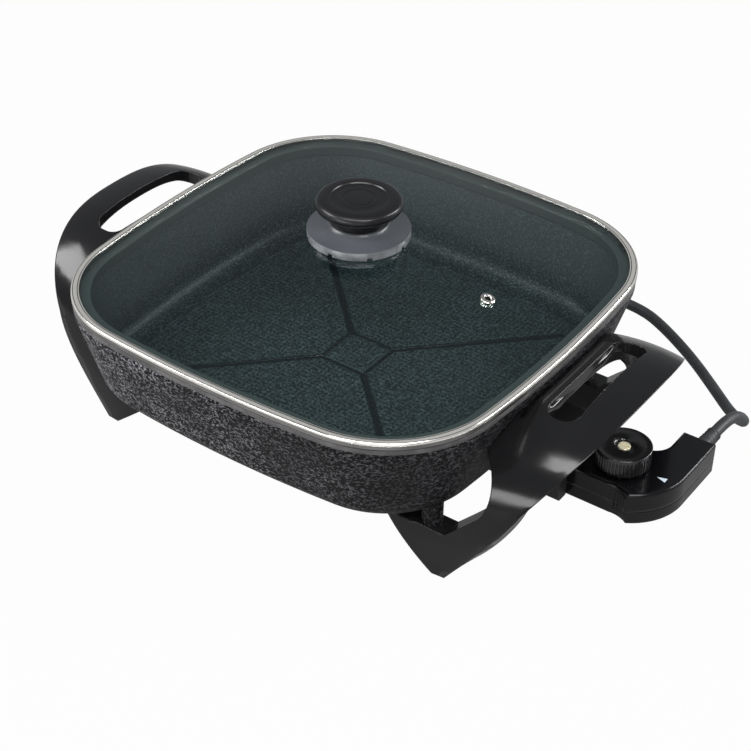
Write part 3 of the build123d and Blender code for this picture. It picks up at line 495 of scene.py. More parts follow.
@dataclass(frozen=True)
class RolledRim:
    """The lid's steel rim: a satin side, a bright rolled top with thin dark lines of painted shade, and
    painted shade over the seat for the glass.

    The crown is how strongly the flat top is shaded as a roll. Insets are measured from the lid's outline.
    """

    name: str = "rolled_steel"
    bright: Colour = rgb(0.9, 0.87, 0.82)
    side: Colour = rgb(0.26, 0.255, 0.25)
    # painted shade: the colours of the thin dark lines on the rolled top and of the seat for the glass
    line: Colour = rgb(0.06, 0.06, 0.06)
    seat_shade: Colour = rgb(0.03, 0.036, 0.036)
    top_z: float = 117.8 * MM
    top_depth: float = 1.4 * MM
    top_width: float = 5.2 * MM
    side_width: float = 2.0 * MM
    crown: float = 110.0
    shade_line_insets: tuple[float, float] = (1.3 * MM, 4.2 * MM)
    shade_line_halves: tuple[float, float] = (0.22 * MM, 0.25 * MM)
    cloud_cells: float = 38.0
    grain_height: float = 0.01 * MM

    def make(self) -> bpy.types.Material:
        """Builds the material.

        Returns:
            The material.
        """
        g = Graph(self.name)
        x, y, z = g.parts(g.place)
        inset = LidOutline().inset(x - PAN_CENTRE.x, y)
        top = z > self.top_z - self.top_depth
        outer = inset < self.side_width
        across = inset - self.top_width / 2
        crown = across * across * (-self.crown)
        # painted shade: two thin dark lines are painted across the rolled top
        first, second = (abs(inset - middle) < half
                         for middle, half in zip(self.shade_line_insets, self.shade_line_halves))
        polished = g.blend(first.most(second), self.bright, self.line)
        cloud = g.noise(self.cloud_cells).ramp(0.35, 0.75)
        satin = g.blend(cloud, self.side, scaled(self.side, 0.6))
        # painted shade: the seat inside the side is painted dark and not metallic
        colour = g.blend(top, g.blend(outer, self.seat_shade, satin), polished)
        fine = g.brushed()
        rough = 0.34 - top * 0.2 + (fine - 0.5) * 0.06
        normal = g.bump(crown * top, 1.0, 1.0, g.bump(fine, self.grain_height, 0.3))
        return g.surface(g.principled(Base_Color=colour, Metallic=outer.most(top) * 0.85, Roughness=rough,
                                      Normal=normal))


@dataclass(frozen=True)
class CastFinish:
    """The pan: hammered paint outside, a smooth band under the rim, non-stick inside.

    The paint's raised strokes are painted lighter as a painted highlight, which fades from the front left to
    the back right as painted light. The floor's panel has a fine hatching, two diagonal grooves and a diamond
    in the middle, which is a dark border round a low ridge.
    """

    name: str = "cast_pan"
    mirror: float = 0.16
    paint: Colour = rgb(0.0015, 0.0015, 0.002)
    # painted highlight: the pale colour of the raised strokes, in place of the light that the hammered facets
    # catch
    stroke_highlight: Colour = rgb(0.36, 0.355, 0.385)
    stroke_cells: float = 430.0
    stroke_stretch: tuple[float, float, float] = (0.72, 0.72, 1.5)
    stroke_height: float = 0.3 * MM
    drift_cells: float = 210.0
    drift_reach: float = 4.0 * MM
    gap_cells: float = 460.0
    highlight_mottle_cells: float = 26.0
    highlight_fade_from: float = 20.0 * MM
    highlight_fade_to: float = 190.0 * MM
    band: Colour = rgb(0.075, 0.072, 0.072)
    band_height: float = 3.6 * MM
    band_cells: float = 70.0
    lining: Colour = rgb(0.0055, 0.009, 0.0105)
    lining_low: float = 50.5 * MM
    lining_relief: float = 0.15 * MM
    # painted highlight: the paler colour that the inner walls are painted towards their top, between the two
    # heights below
    wall: Colour = rgb(0.03, 0.034, 0.036)
    wall_highlight_low: float = 56.0 * MM
    wall_highlight_high: float = 84.0 * MM
    fleck: Colour = rgb(0.078, 0.1, 0.104)
    fleck_cells: float = 800.0
    hatch_pitch: float = 1.7 * MM
    hatch_sway: float = 1.6 * MM
    sway_cells: float = 90.0
    break_cells: float = 430.0
    panel_inset: float = 33.0 * MM
    panel_high: float = 53.6 * MM
    groove_half: tuple[float, float] = (2.4 * MM, 4.4 * MM)
    groove_reach: tuple[float, float] = (16.0 * MM, 99.0 * MM)
    border_middle: float = 17.2 * MM
    border_half: tuple[float, float] = (0.9 * MM, 2.2 * MM)
    ridge_middle: float = 14.6 * MM
    ridge_half: tuple[float, float] = (0.2 * MM, 0.7 * MM)

    def strokes(self, g: Graph) -> Wire:
        """Short raised strokes, longer along the wall than up it.

        Args:
            g: The graph.

        Returns:
            The strokes' height from 0 to 1.
        """
        wander = g.node("ShaderNodeTexNoise", output=1, inputs={
            "Vector": g.place, "Scale": self.drift_cells, "Detail": 2.0})
        drift = g.node("ShaderNodeVectorMath", {"operation": "SCALE"}, {0: wander, "Scale": self.drift_reach})
        place = g.node("ShaderNodeVectorMath", {"operation": "ADD"},
                       {0: g.stretched(self.stroke_stretch), 1: drift})
        worms = g.noise(self.stroke_cells, 1.5, 0.55, place)
        gaps = g.noise(self.gap_cells, 1.0).ramp(0.4, 0.54)
        return (1 - abs(worms - 0.5) * 7.0).ramp(0.45, 0.9) * gaps

    def outside(self, g: Graph, x: Wire, y: Wire, strokes: Wire, band: Wire) -> Wire:
        """The outer wall's colour.

        Args:
            g: The graph.
            x: X from the pan's middle.
            y: Y from the pan's middle.
            strokes: The strokes' height.
            band: One in the smooth band under the rim.

        Returns:
            The colour.
        """
        # painted light: the strokes' painted highlight fades from the front left to the back right and is
        # mottled at random
        shown = 1 - (x - y * 0.4).ramp(self.highlight_fade_from, self.highlight_fade_to) * 0.75
        highlight_mottle = g.noise(self.highlight_mottle_cells, 3.0).ramp(0.3, 0.75)
        painted = g.blend(strokes * shown * (0.35 + highlight_mottle * 0.65), self.paint, self.stroke_highlight)
        rubbed = g.blend(g.noise(self.band_cells, 3.0).ramp(0.4, 0.7), self.band, scaled(self.band, 1.6))
        return g.blend(band, painted, rubbed)

    def floor_marks(self, g: Graph, x: Wire, y: Wire, panel: Wire) -> tuple[Wire, Wire, Wire]:
        """The marks of the pan's floor.

        Args:
            g: The graph.
            x: X from the pan's middle.
            y: Y from the pan's middle.
            panel: One on the floor's marked part.

        Returns:
            The hatching, the diagonal grooves with the diamond's border, and the diamond's ridge.
        """
        sway = (g.noise(self.sway_cells, 1.0) - 0.5) * self.hatch_sway
        across = (x + sway).wrapped(self.hatch_pitch) / self.hatch_pitch
        along = (y - sway).wrapped(self.hatch_pitch) / self.hatch_pitch
        lattice = across.ramp(0.4, 1.0).most(along.ramp(0.4, 1.0))
        broken = g.noise(self.break_cells).ramp(0.34, 0.62)
        middle = abs(x).most(abs(y))
        near, far = self.groove_reach
        diagonal = (1 - abs(abs(x) - abs(y)).ramp(*self.groove_half)) * (middle < far) * (middle > near)
        border = 1 - abs(middle - self.border_middle).ramp(*self.border_half)
        groove = diagonal.most(border) * panel
        ridge = (1 - abs(middle - self.ridge_middle).ramp(*self.ridge_half)) * panel
        return lattice * broken * panel * (1 - groove), groove, ridge

    def make(self) -> bpy.types.Material:
        """Builds the material.

        Returns:
            The material.
        """
        g = Graph(self.name)
        x, y, z = g.parts(g.place)
        x = x - PAN_CENTRE.x
        normal_x, normal_y, normal_z = g.parts(g.node("ShaderNodeNewGeometry", output="Normal"))
        # The lining is what looks to the middle or up, above the pan's underside
        inward = (x * normal_x + y * normal_y) < -0.01 * (PAN_HIGH.y - PAN_LOW.y)
        inside = inward.most(normal_z > 0.6) * (z > self.lining_low)
        band = (z > PAN_HIGH.z - self.band_height) * (1 - inside)
        strokes = self.strokes(g)

        panel = (LidOutline().inset(x, y) > self.panel_inset) * (z < self.panel_high) * inside
        hatch, groove, ridge = self.floor_marks(g, x, y, panel)
        speck = g.noise(self.fleck_cells, 2.0, 0.7).ramp(0.5, 0.64)
        # painted highlight: the inner walls are painted paler upwards between the two heights, in place of
        # their soft broad highlight
        ground = g.blend(z.ramp(self.wall_highlight_low, self.wall_highlight_high), self.lining, self.wall)
        specked = g.blend((speck * 0.5 + hatch * 0.36).most(ridge * 0.3), ground, self.fleck)
        dark = g.blend(groove * 0.7, specked, scaled(self.lining, 0.35))
        colour = g.blend(inside, self.outside(g, x, y, strokes, band), dark)

        relief = (hatch * 0.6 + speck * 0.5 + ridge - groove) * inside
        normal = g.bump(strokes * (1 - inside) * (1 - band), self.stroke_height, 0.7,
                        g.bump(relief, self.lining_relief, 0.6))
        rough = 0.5 - strokes * 0.1 - inside * 0.1 - band * 0.2
        return g.surface(g.principled(Base_Color=colour, Roughness=rough, Normal=normal,
                                      Specular_IOR_Level=self.mirror))


@dataclass(frozen=True)
class LidGlass:
    """Clear toughened glass: see-through, with a mirror that strengthens at grazing angles."""

    name: str = "lid_glass"
    tint: Colour = rgb(0.9, 0.945, 0.94)
    shine: Colour = rgb(0.9, 0.95, 0.95)
    ior: float = 1.5
    gloss: float = 0.62
    smear_cells: float = 22.0

    def make(self) -> bpy.types.Material:
        """Builds the material.

        Returns:
            The material.
        """
        g = Graph(self.name)
        clear = g.node("ShaderNodeBsdfTransparent", inputs={"Color": self.tint})
        smear = g.noise(self.smear_cells, 3.0)
        mirror = g.principled(Base_Color=self.shine, Metallic=1.0, Roughness=0.02 + smear * 0.03)
        fresnel = g.node("ShaderNodeFresnel", inputs={"IOR": self.ior})
        front = 1 - g.node("ShaderNodeNewGeometry", output="Backfacing")
        material = g.surface(g.node("ShaderNodeMixShader", inputs={
            0: fresnel * front * self.gloss, 1: clear, 2: mirror}))
        material.use_transparent_shadow = True
        return material


def ride_on(obj: bpy.types.Object, body: Body) -> bpy.types.Object:
    """Hangs a finished piece on its body.

    Args:
        obj: The piece.
        body: The body that it moves with.

    Returns:
        The piece.
    """
    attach(obj, body.value)
    log.info("%s rides on %s", obj.name, body.value)
    return obj


def put(name: str, mesh: bpy.types.Mesh, material: bpy.types.Material) -> bpy.types.Object:
    """Adds a mesh to the scene.

    Args:
        name: The object's name.
        mesh: Its mesh.
        material: Its finish.

    Returns:
        The object.
    """
    obj = bpy.data.objects.new(name, mesh)
    mesh.materials.clear()
    mesh.materials.append(material)
    bpy.context.scene.collection.objects.link(obj)
    return obj


def baked(name: str, bm: bmesh.types.BMesh) -> bpy.types.Mesh:
    """Turns a finished bmesh into a mesh and frees it.

    Args:
        name: The mesh's name.
        bm: The bmesh.

    Returns:
        The mesh.
    """
    mesh = bpy.data.meshes.new(name)
    bm.to_mesh(mesh)
    bm.free()
    return mesh


def round_edges(bm: bmesh.types.BMesh, edges: list[bmesh.types.BMEdge], radius: float) -> None:
    """Rounds edges as far as their neighbours leave room.

    Args:
        bm: The mesh that the edges belong to.
        edges: The edges.
        radius: The radius in metres.
    """
    bmesh.ops.bevel(bm, geom=edges, offset=radius, offset_type="OFFSET", affect="EDGES", segments=3,
                    profile=0.5, material=-1, clamp_overlap=True)


def smooth_but(mesh: bpy.types.Mesh, angle: float) -> None:
    """Shades a mesh smoothly but for its sharp edges.

    Args:
        mesh: The mesh.
        angle: The angle in radians past which an edge stays sharp.
    """
    mesh.polygons.foreach_set("use_smooth", [True] * len(mesh.polygons))
    mesh.set_sharp_from_angle(angle=angle)


@dataclass
class Softened:
    """A solid of the frame, merged and smoothly shaded, its sharp edges rounded where a radius is given."""

    node: str
    body: Body
    material: bpy.types.Material
    radius: float = 0.0
    merge_distance: float = 0.002 * MM
    flat_angle: float = math.radians(0.4)
    sharp_angle: float = math.radians(32)

    def build(self) -> bpy.types.Object:
        """Copies the solid's mesh, rounds its edges and puts it in the solid's place.

        Returns:
            The new piece.
        """
        mesh = frame["nodes"][self.node].data.copy()
        bm = bmesh.new()
        bm.from_mesh(mesh)
        bmesh.ops.remove_doubles(bm, verts=bm.verts[:], dist=self.merge_distance)
        bmesh.ops.dissolve_degenerate(bm, edges=bm.edges[:], dist=self.merge_distance / 2)
        bmesh.ops.dissolve_limit(bm, angle_limit=self.flat_angle, verts=bm.verts[:], edges=bm.edges[:])
        if self.radius > 0:
            sharp = [e for e in bm.edges if e.is_manifold and e.calc_face_angle(0.0) > self.sharp_angle]
            round_edges(bm, sharp, self.radius)
        bmesh.ops.triangulate(bm, faces=[f for f in bm.faces if len(f.verts) > 4])
        bm.to_mesh(mesh)
        bm.free()
        smooth_but(mesh, self.sharp_angle)
        obj = put(f"{self.node}_dressed", mesh, self.material)
        level = obj.modifiers.new("level_faces", "WEIGHTED_NORMAL")
        level.mode = "FACE_AREA_WITH_ANGLE"
        level.keep_sharp = True
        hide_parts(self.node)
        return ride_on(obj, self.body)


@dataclass
class Spun:
    """A round piece spun about the lid's upright middle from its half section in millimetres."""

    node: str
    body: Body
    material: bpy.types.Material
    section: list[tuple[float, float]]
    closed: bool = False
    steps: int = 128
    soft_radius: float = 0.4 * MM
    soft_angle: float = math.radians(16)
    sharp_angle: float = math.radians(35)
    pole_radius: float = 3.0 * MM

    def spun(self) -> bmesh.types.BMesh:
        """Spins the section and closes its seam and poles.

        Returns:
            The spun mesh about the origin.
        """
        bm = bmesh.new()
        corners = [bm.verts.new((radius * MM, 0.0, height * MM)) for radius, height in self.section]
        pairs = list(zip(corners, corners[1:]))
        if self.closed:
            pairs.append((corners[-1], corners[0]))
        line = [bm.edges.new(pair) for pair in pairs]
        bmesh.ops.spin(bm, geom=corners + line, cent=(0, 0, 0), axis=(0, 0, 1), angle=math.tau,
                       steps=self.steps, use_merge=True)
        bmesh.ops.remove_doubles(bm, verts=bm.verts[:], dist=TOUCHING)
        bmesh.ops.recalc_face_normals(bm, faces=bm.faces[:])
        return bm

    def carve(self, bm: bmesh.types.BMesh) -> None:
        """Cuts what isn't round; a plain spun piece has nothing to cut."""

    def build(self) -> None:
        """Spins, cuts and softens the piece and puts it in the solid's place."""
        bm = self.spun()
        self.carve(bm)
        crisp = [e for e in bm.edges if e.is_manifold and e.calc_face_angle(0.0) > self.soft_angle
                 and min(v.co.xy.length for v in e.verts) > self.pole_radius]
        round_edges(bm, crisp, self.soft_radius)
        bmesh.ops.recalc_face_normals(bm, faces=bm.faces[:])
        bmesh.ops.translate(bm, verts=bm.verts[:], vec=(PAN_CENTRE.x, 0.0, 0.0))
        mesh = baked(f"{self.node}_spun", bm)
        smooth_but(mesh, self.sharp_angle)
        obj = put(f"{self.node}_spun", mesh, self.material)
        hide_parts(self.node)
        ride_on(obj, self.body)


@dataclass
class NotchedBase(Spun):
    """The knob's foot: a spun flare with short notches round its lower edge, sized in millimetres."""

    notches: int = 8
    notch_height: float = 1.9
    notch_depth: float = 2.5
    foot_radius: float = 32.5
    wall_margin: float = 0.3

    def carve(self, bm: bmesh.types.BMesh) -> None:
        """Raises each notch's bit of the underside and opens the wall in front of it.

        Args:
            bm: The spun foot.
        """
        low = self.section[0][1] * MM
        top = low + self.notch_height * MM
        inner = (self.foot_radius - self.notch_depth) * MM
        wall_from = (self.foot_radius - self.wall_margin) * MM
        step = math.tau / self.steps
        for index in range(self.notches):
            middle = index * math.tau / self.notches + step

            def in_notch(face: bmesh.types.BMFace) -> bool:
                """Whether a face lies in this notch's two steps."""
                centre = face.calc_center_median()
                turn = (math.atan2(centre.y, centre.x) - middle + math.pi) % math.tau - math.pi
                return abs(turn) < step

            under = [f for f in bm.faces if abs(f.calc_center_median().z - low) < TOUCHING
                     and f.calc_center_median().xy.length > inner and in_notch(f)]
            made = bmesh.ops.extrude_face_region(bm, geom=under)
            raised = [v for v in made["geom"] if isinstance(v, bmesh.types.BMVert)]
            bmesh.ops.delete(bm, geom=under, context="FACES_ONLY")
            bmesh.ops.translate(bm, verts=raised, vec=(0.0, 0.0, top - low))
            wall = [f for f in bm.faces if low < f.calc_center_median().z < top
                    and f.calc_center_median().xy.length > wall_from
                    and abs(f.normal.z) < 0.5 and in_notch(f)
                    and max(v.co.z for v in f.verts) < top + TOUCHING
                    and min(v.co.xy.length for v in f.verts) > wall_from]
            bmesh.ops.delete(bm, geom=wall, context="FACES_ONLY")
        bmesh.ops.remove_doubles(bm, verts=bm.verts[:], dist=TOUCHING)
        loose = [e for e in bm.edges if not e.link_faces]
        bmesh.ops.delete(bm, geom=loose, context="EDGES")


@dataclass
class Knob:
    """The lid's knob: a notched foot that flares to a neck, and a wide cap with rings on top.

    Its sizes are millimetres. The edge is the step that the cap's rounded side is drawn in.
    """

    cap_finish: bpy.types.Material
    base_finish: bpy.types.Material
    edge: float = 0.8
    bore: float = 2.6
    neck: float = 17.6
    cap: float = 27.3
    cap_above_foot: float = 8.9
    socket_height: float = 6.2
    dish_depth: float = 1.1
    rings: tuple[float, ...] = (18.5, 17.7, 12.6, 11.8, 10.4, 9.6, 8.8)
    skirt_height: float = 5.6
    flare_inset: float = 1.0
    flare_steps: int = 9
    flare_power: float = 1.58

    def base_section(self, low: float, top: float) -> list[tuple[float, float]]:
        """The foot's half section.

        Args:
            low: Its underside.
            top: The flare's top.

        Returns:
            Its corners.
        """
        foot = NotchedBase.foot_radius
        wide, narrow = foot - self.flare_inset, self.neck + 1.5 * self.edge
        skirt = low + self.skirt_height
        points = [(self.bore, low), (foot - NotchedBase.notch_depth, low), (foot, low),
                  (foot, low + NotchedBase.notch_height), (foot, skirt)]
        for index in range(self.flare_steps + 1):
            turn = math.pi / 2 * index / self.flare_steps
            across = math.sin(turn) ** (2 / self.flare_power)
            up = 1 - math.cos(turn) ** (2 / self.flare_power)
            points.append((wide + (narrow - wide) * across, skirt + (top - skirt) * up))
        return points + [(self.bore, top)]

    def cap_section(self, flare_top: float, top: float) -> list[tuple[float, float]]:
        """The cap's half section, from the screw's hole round to the button.

        Args:
            flare_top: Where the neck meets the foot.
            top: The highest ring.

        Returns:
            Its corners.
        """
        cap, neck, edge = self.cap, self.neck, self.edge
        low, socket_top = flare_top + self.cap_above_foot, flare_top + self.socket_height
        dish = top - self.dish_depth
        level = (dish + top) / 2
        return [
            (0.0, socket_top), (self.bore, socket_top), (self.bore, flare_top), (neck, flare_top),
            (neck, low - 2 * edge), (neck + 2 * edge, low), (cap - 2.4 * edge, low),
            (cap - edge, low + 0.8 * edge), (cap - 0.2 * edge, low + 2.2 * edge),
            (cap, low + 3.6 * edge), (cap - 0.3 * edge, low + 5.2 * edge),
            (cap - 1.3 * edge, top - 2.0 * edge), (cap - 3.2 * edge, top - 0.7 * edge), (cap - 6 * edge, top),
            *zip(self.rings, (top, dish, dish, level, level, dish, level)), (0.0, level)]

    def build(self) -> None:
        """Spins both pieces."""
        low, flare_top = (corner.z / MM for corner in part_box("knob_base"))
        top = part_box("lid_knob")[1].z / MM
        NotchedBase("knob_base", Body.LID, self.base_finish, self.base_section(low, flare_top),
                    closed=True).build()
        Spun("lid_knob", Body.LID, self.cap_finish, self.cap_section(flare_top, top)).build()


@dataclass
class ControlMark:
    """The pale triangle on the heat control's top that the dial is read against.

    Its sizes and its middle, from the pan's middle, are millimetres.
    """

    material: bpy.types.Material
    middle: tuple[float, float] = (223.2, 0.5)
    radius: float = 2.3
    stretch: float = 1.75
    thickness: float = 0.12
    sunk: float = 0.02

    def build(self) -> None:
        """Lays a thin triangle that points at the dial."""
        bm = bmesh.new()
        made = bmesh.ops.create_circle(bm, cap_ends=True, segments=3, radius=self.radius * MM)
        verts = made["verts"]
        bmesh.ops.rotate(bm, verts=verts, cent=(0, 0, 0), matrix=Matrix.Rotation(math.pi / 2, 3, "Z"))
        bmesh.ops.scale(bm, verts=verts, vec=(self.stretch, 1.0, 1.0))
        grown = bmesh.ops.extrude_face_region(bm, geom=bm.faces[:])
        raised = [v for v in grown["geom"] if isinstance(v, bmesh.types.BMVert)]
        bmesh.ops.translate(bm, verts=raised, vec=(0, 0, self.thickness * MM))
        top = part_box("control_upper_shell")[1].z
        x, y = self.middle
        bmesh.ops.translate(bm, verts=bm.verts[:], vec=(x * MM + PAN_CENTRE.x, y * MM, top - self.sunk * MM))
        bmesh.ops.recalc_face_normals(bm, faces=bm.faces[:])
        obj = put("control_mark", baked("control_mark", bm), self.material)
        ride_on(obj, Body.CONTROL)


@dataclass
class Cord:
    """The free cord: from the strain relief over the table to the coil, and on to the plug.

    Its diameter and real length are metres. Its points, from the pan's middle, and its coil are millimetres.
    """

    material: bpy.types.Material
    diameter: float = 7.6 * MM
    real_length: float = 1.39
    turn_radii: tuple[float, ...] = (48.0, 43.9, 39.8, 35.7)
    coil_centre: tuple[float, float] = (0.0, 179.0)
    low: float = 5.4
    high: float = 13.6
    points_per_half_turn: int = 8
    route: list[tuple[float, float, float]] = field(default_factory=lambda: [
        (222.4, 72.5, 44.0), (222.4, 91.5, 44.0), (223.0, 112.0, 34.0), (220.0, 132.0, 14.5),
        (205.0, 147.0, 4.6), (180.0, 169.0, 3.9), (152.0, 192.0, 3.9), (119.0, 214.0, 3.9),
        (95.0, 225.5, 3.9), (65.0, 226.0, 4.1), (35.0, 227.0, 5.4), (7.6, 227.0, 5.4)])
    tail: list[tuple[float, float, float]] = field(default_factory=lambda: [
        (-7.6, 227.0, 13.6), (-26.0, 227.0, 13.3), (-46.0, 224.5, 12.2), (-64.0, 219.0, 11.2)])

    def coil(self) -> list[tuple[float, float, float]]:
        """The coil's points: in by half turns, up a layer, and out again.

        Returns:
            The control points in millimetres.
        """
        x, y = self.coil_centre
        points = []
        step = self.turn_radii[0] - self.turn_radii[1]
        spread = 1 / math.cos(math.pi / self.points_per_half_turn / 2) ** 0.5
        plan = [(r, self.low, self.low) for r in self.turn_radii]
        plan.append((self.turn_radii[-1] - step, self.low, self.high))
        plan += [(r, self.high, self.high) for r in reversed(self.turn_radii[1:])]
        at_y = y + self.turn_radii[0]
        side = 1
        for radius, start_z, end_z in plan:
            centre_y = at_y - side * radius
            for index in range(self.points_per_half_turn):
                share = index / self.points_per_half_turn
                angle = math.pi * share
                reach = radius * spread
                points.append((x - side * reach * math.sin(angle), centre_y + side * reach * math.cos(angle),
                               start_z + (end_z - start_z) * share))
            at_y = centre_y - side * radius
            side = -side
        points.append((x, at_y, self.high))
        return points

    def build(self) -> None:
        points = [(x * MM + PAN_CENTRE.x, y * MM, z * MM) for x, y, z in self.route + self.coil() + self.tail]
        curve = bpy.data.curves.new("supply_lead", "CURVE")
        curve.dimensions = "3D"
        spline = curve.splines.new("NURBS")
        spline.points.add(len(points) - 1)
        for point, place in zip(spline.points, points):
            point.co = (*place, 1.0)
        spline.order_u = 3
        spline.use_endpoint_u = True
        spline.resolution_u = 8
        curve.bevel_depth = self.diameter / 2
        curve.bevel_resolution = 5
        curve.use_fill_caps = True
        curve.materials.append(self.material)
        obj = bpy.data.objects.new("supply_lead", curve)
        bpy.context.scene.collection.objects.link(obj)
        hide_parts("supply_cord", "cord_coil", "plug_cord")
        ride_on(obj, Body.CONTROL)
        dull = SatinMoulding("plug_black", rgb(0.012, 0.012, 0.013), 0.5).make()
        others = [Softened("plug_body", Body.CONTROL, dull, 0.6 * MM).build(),
                  Softened("cord_tie", Body.CONTROL, dull, 0.3 * MM).build(), frame["nodes"]["plug_pins"]]


@dataclass(frozen=True)
class SoftBox:
    """A rectangular lamp that faces a target, with its power in watts and its roll in degrees."""

    name: str
    place: tuple[float, float, float]
    size: tuple[float, float]
    power: float
    roll: float = 0.0
    target: tuple[float, float, float] = (0.0, 0.0, 0.08)

    def hang(self) -> None:
        """Adds the lamp to the scene."""
        data = bpy.data.lights.new(self.name, "AREA")
        data.shape = "RECTANGLE"
        data.size, data.size_y = self.size
        data.energy = self.power
        obj = bpy.data.objects.new(self.name, data)
        bpy.context.scene.collection.objects.link(obj)
        obj.location = self.place
        obj.rotation_mode = "QUATERNION"
        aim = (Vector(self.target) - Vector(self.place)).to_track_quat("-Z", "Y")
        obj.rotation_quaternion = aim @ Matrix.Rotation(math.radians(self.roll), 4, "Z").to_quaternion()


@dataclass
class Studio:
    """The camera of the photograph, the pale table, the surround and the lamps.

    The camera's eye, from the pan's middle, and its lens and sensor are millimetres. The mirrored shares are
    how much of the white that the camera sees also shows in glossy surfaces.
    """

    eye: tuple[float, float, float] = (534.66, -751.69, 705.55)
    forward: tuple[float, float, float] = (-0.46020, 0.66527, -0.58791)
    roll: float = math.radians(1.128)
    lens: float = 82.946
    sensor: float = 36.0
    table_half: float = 6.0
    paper: Colour = rgb(0.24, 0.24, 0.24)
    white: Colour = rgb(1.0, 1.0, 1.0)
    table_glow: float = 0.975
    table_mirrored: float = 0.2
    sky: Colour = rgb(0.9, 0.95, 1.0)
    sky_strength: float = 0.18
    sky_mirrored: float = 0.12
    lamps: tuple[SoftBox, ...] = (
        SoftBox("left_box", (-1.15, -0.80, 1.0), (0.85, 0.7), 22.0),
        SoftBox("back_right_box", (1.12, 1.18, 0.88), (0.34, 1.3), 24.0, roll=38.0),
        SoftBox("top_front_box", (0.1, -0.82, 1.58), (0.9, 0.45), 14.0),
        SoftBox("front_low_card", (-0.2, -1.5, 0.36), (1.0, 0.3), 8.0),
        SoftBox("low_right_card", (0.95, -1.5, 0.16), (1.1, 0.34), 2.5),
        SoftBox("right_top_card", (0.84, -0.56, 1.3), (0.6, 0.55), 13.0))

    def camera(self) -> None:
        """Places the camera."""
        data = bpy.data.cameras.new("camera")
        data.lens = self.lens
        data.sensor_width = self.sensor
        data.clip_start = 0.01
        data.clip_end = 50.0
        obj = bpy.data.objects.new("camera", data)
        bpy.context.scene.collection.objects.link(obj)
        ahead = Vector(self.forward).normalized()
        right = ahead.cross(Vector((0, 0, 1))).normalized()
        up = right.cross(ahead)
        across = right * math.cos(self.roll) + up * math.sin(self.roll)
        above = up * math.cos(self.roll) - right * math.sin(self.roll)
        turn = Matrix((across, above, -ahead)).transposed().to_4x4()
        place = Vector(self.eye) * MM + Vector((PAN_CENTRE.x, 0, 0))
        obj.matrix_world = Matrix.Translation(place) @ turn
        bpy.context.scene.camera = obj

    def table(self) -> None:
        """A wide pale table top that keeps a soft shadow."""
        bm = bmesh.new()
        bmesh.ops.create_grid(bm, x_segments=1, y_segments=1, size=self.table_half)
        g = Graph("table_top")
        seen = g.ray("Is Camera Ray").most(g.ray("Is Glossy Ray") * self.table_mirrored).most(
            g.ray("Is Transmission Ray"))
        paper = g.principled(Base_Color=self.paper, Roughness=0.8, Specular_IOR_Level=0.2)
        glow = g.node("ShaderNodeEmission", inputs={"Color": self.white, "Strength": 1.0})
        mixed = g.node("ShaderNodeMixShader", inputs={0: seen * self.table_glow, 1: paper, 2: glow})
        put("table_top", baked("table_top", bm), g.surface(mixed))

    def surround(self) -> None:
        """A white surround that shows behind and through things, and plain grey light from it."""
        g = Graph("surround", world=True)
        shown = g.ray("Is Camera Ray").most(g.ray("Is Transmission Ray"))
        seen = g.ray("Is Glossy Ray") * self.sky_mirrored + shown
        light = g.node("ShaderNodeBackground", inputs={"Color": self.sky, "Strength": self.sky_strength})
        show = g.node("ShaderNodeBackground", inputs={"Color": self.white, "Strength": 1.0})
        mixed = g.node("ShaderNodeMixShader", inputs={0: seen, 1: light, 2: show})
        bpy.context.scene.world = g.surface(mixed)

    def build(self) -> None:
        """Sets up the whole studio."""
        self.camera()
        self.table()
        self.surround()
        for lamp in self.lamps:
            lamp.hang()
        bpy.context.scene.view_settings.view_transform = "Standard"


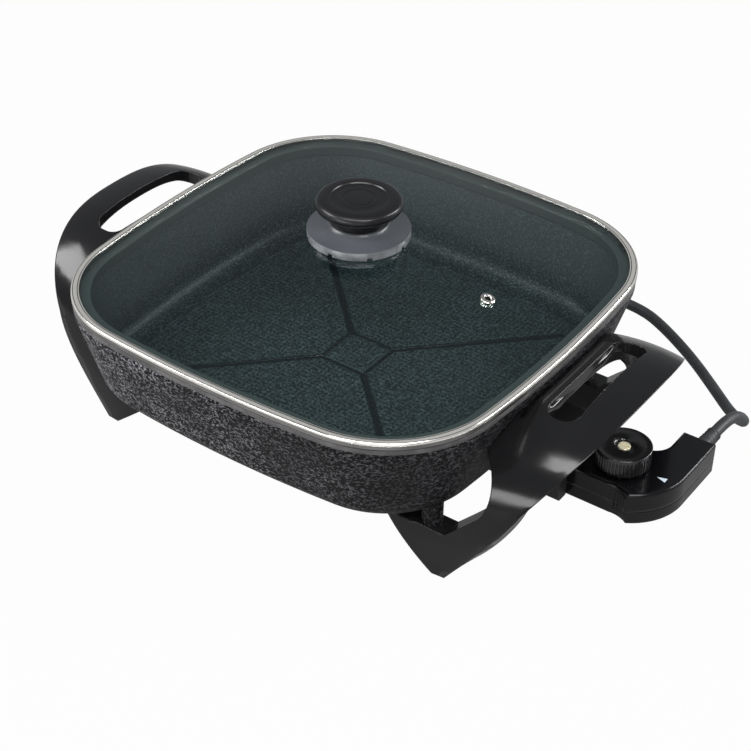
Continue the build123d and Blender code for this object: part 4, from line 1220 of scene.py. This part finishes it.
@dataclass
class Skillet:
    """The whole appliance: each solid's finish, and the edge radius in millimetres of those smoothed."""

    edge_radii: dict[str, float] = field(default_factory=lambda: {
        "pan": 0.0, "lid_glass": 0.0, "right_handle": 0.0, "left_handle": 0.0, "dial": 0.0,
        "control_upper_shell": 0.0, "control_lower_shell": 0.0, "terminal_guard": 0.6,
        "strain_relief": 0.3, "lid_rim": 0.2, "steam_vent": 0.2, "dial_screw": 0.2})

    def finishes(self) -> dict[str, bpy.types.Material]:
        """Makes each finish once.

        Returns:
            The finish of every node.
        """
        gloss = GlossMoulding("gloss_black").make()
        control = GlossMoulding("control_black", rgb(0.003, 0.003, 0.0035), 0.12, 0.34, 1.2 * MM).make()
        shoulder = GlossMoulding("shoulder_black", rgb(0.002, 0.002, 0.0025), 0.13, 0.34, 2.4 * MM).make()
        dial = SatinMoulding("dial_black", rgb(0.006, 0.006, 0.0065), 0.19, edge=0.4 * MM, mirror=0.85).make()
        cap = SatinMoulding("satin_charcoal", rgb(0.004, 0.004, 0.005), 0.3, mirror=0.4).make()
        # the knob foot's shade is lightened as painted sheen, and its skirt below the given height is a
        # painted sheen band
        base = SatinMoulding("base_charcoal", rgb(0.05, 0.054, 0.061), 0.3, sheen_band_below=149.2 * MM).make()
        dull = SatinMoulding("dull_black", rgb(0.012, 0.012, 0.013), 0.5).make()
        rubber = Rubber("cord_sheath").make()
        steel = Metal("polished_steel").make()
        drawn = Metal("drawn_steel", rgb(0.5, 0.49, 0.47), 0.3, 0.15).make()
        heated = Metal("heated_steel", rgb(0.3, 0.27, 0.24), 0.42, 0.2).make()
        brass = Metal("turned_brass", rgb(0.95, 0.88, 0.64), 0.2, 0.1, 0.45).make()
        table = {
            "pan": CastFinish().make(), "lid_glass": LidGlass().make(), "lid_rim": RolledRim().make(),
            "steam_vent": steel, "lid_knob": cap, "knob_base": base, "knob_washer": rubber,
            "right_handle": gloss, "left_handle": gloss, "terminal_guard": dull, "terminal_pins": steel,
            "heating_element": heated, "control_upper_shell": shoulder, "control_lower_shell": control,
            "dial": dial, "dial_screw": brass, "pin_sockets": brass, "strain_relief": rubber,
            "supply_cord": rubber, "cord_coil": rubber, "plug_cord": rubber, "cord_tie": dull,
            "plug_body": dull, "plug_pins": Metal("plated_pin").make()}
        return {node: table.get(node, drawn) for node in frame["nodes"]}

    def build(self) -> None:
        """Dresses every solid."""
        finishes = self.finishes()
        bodies = {n: Body(b) for b, names in frame["record"]["behaviour"]["bodies"].items() for n in names}
        for node, obj in frame["nodes"].items():
            obj.data.materials.clear()
            obj.data.materials.append(finishes[node])
            if node in self.edge_radii:
                Softened(node, bodies[node], finishes[node], self.edge_radii[node] * MM).build()
        Knob(finishes["lid_knob"], finishes["knob_base"]).build()
        ControlMark(SatinMoulding("mark_paint", rgb(0.42, 0.47, 0.52), 0.5).make()).build()


def main() -> None:
    """Builds the studio, the cord and the appliance in order."""
    logging.basicConfig(level=logging.INFO, format="%(message)s")
    Studio().build()
    Cord(Rubber("lead_sheath").make()).build()
    Skillet().build()


if __name__ == "__main__":
    main()
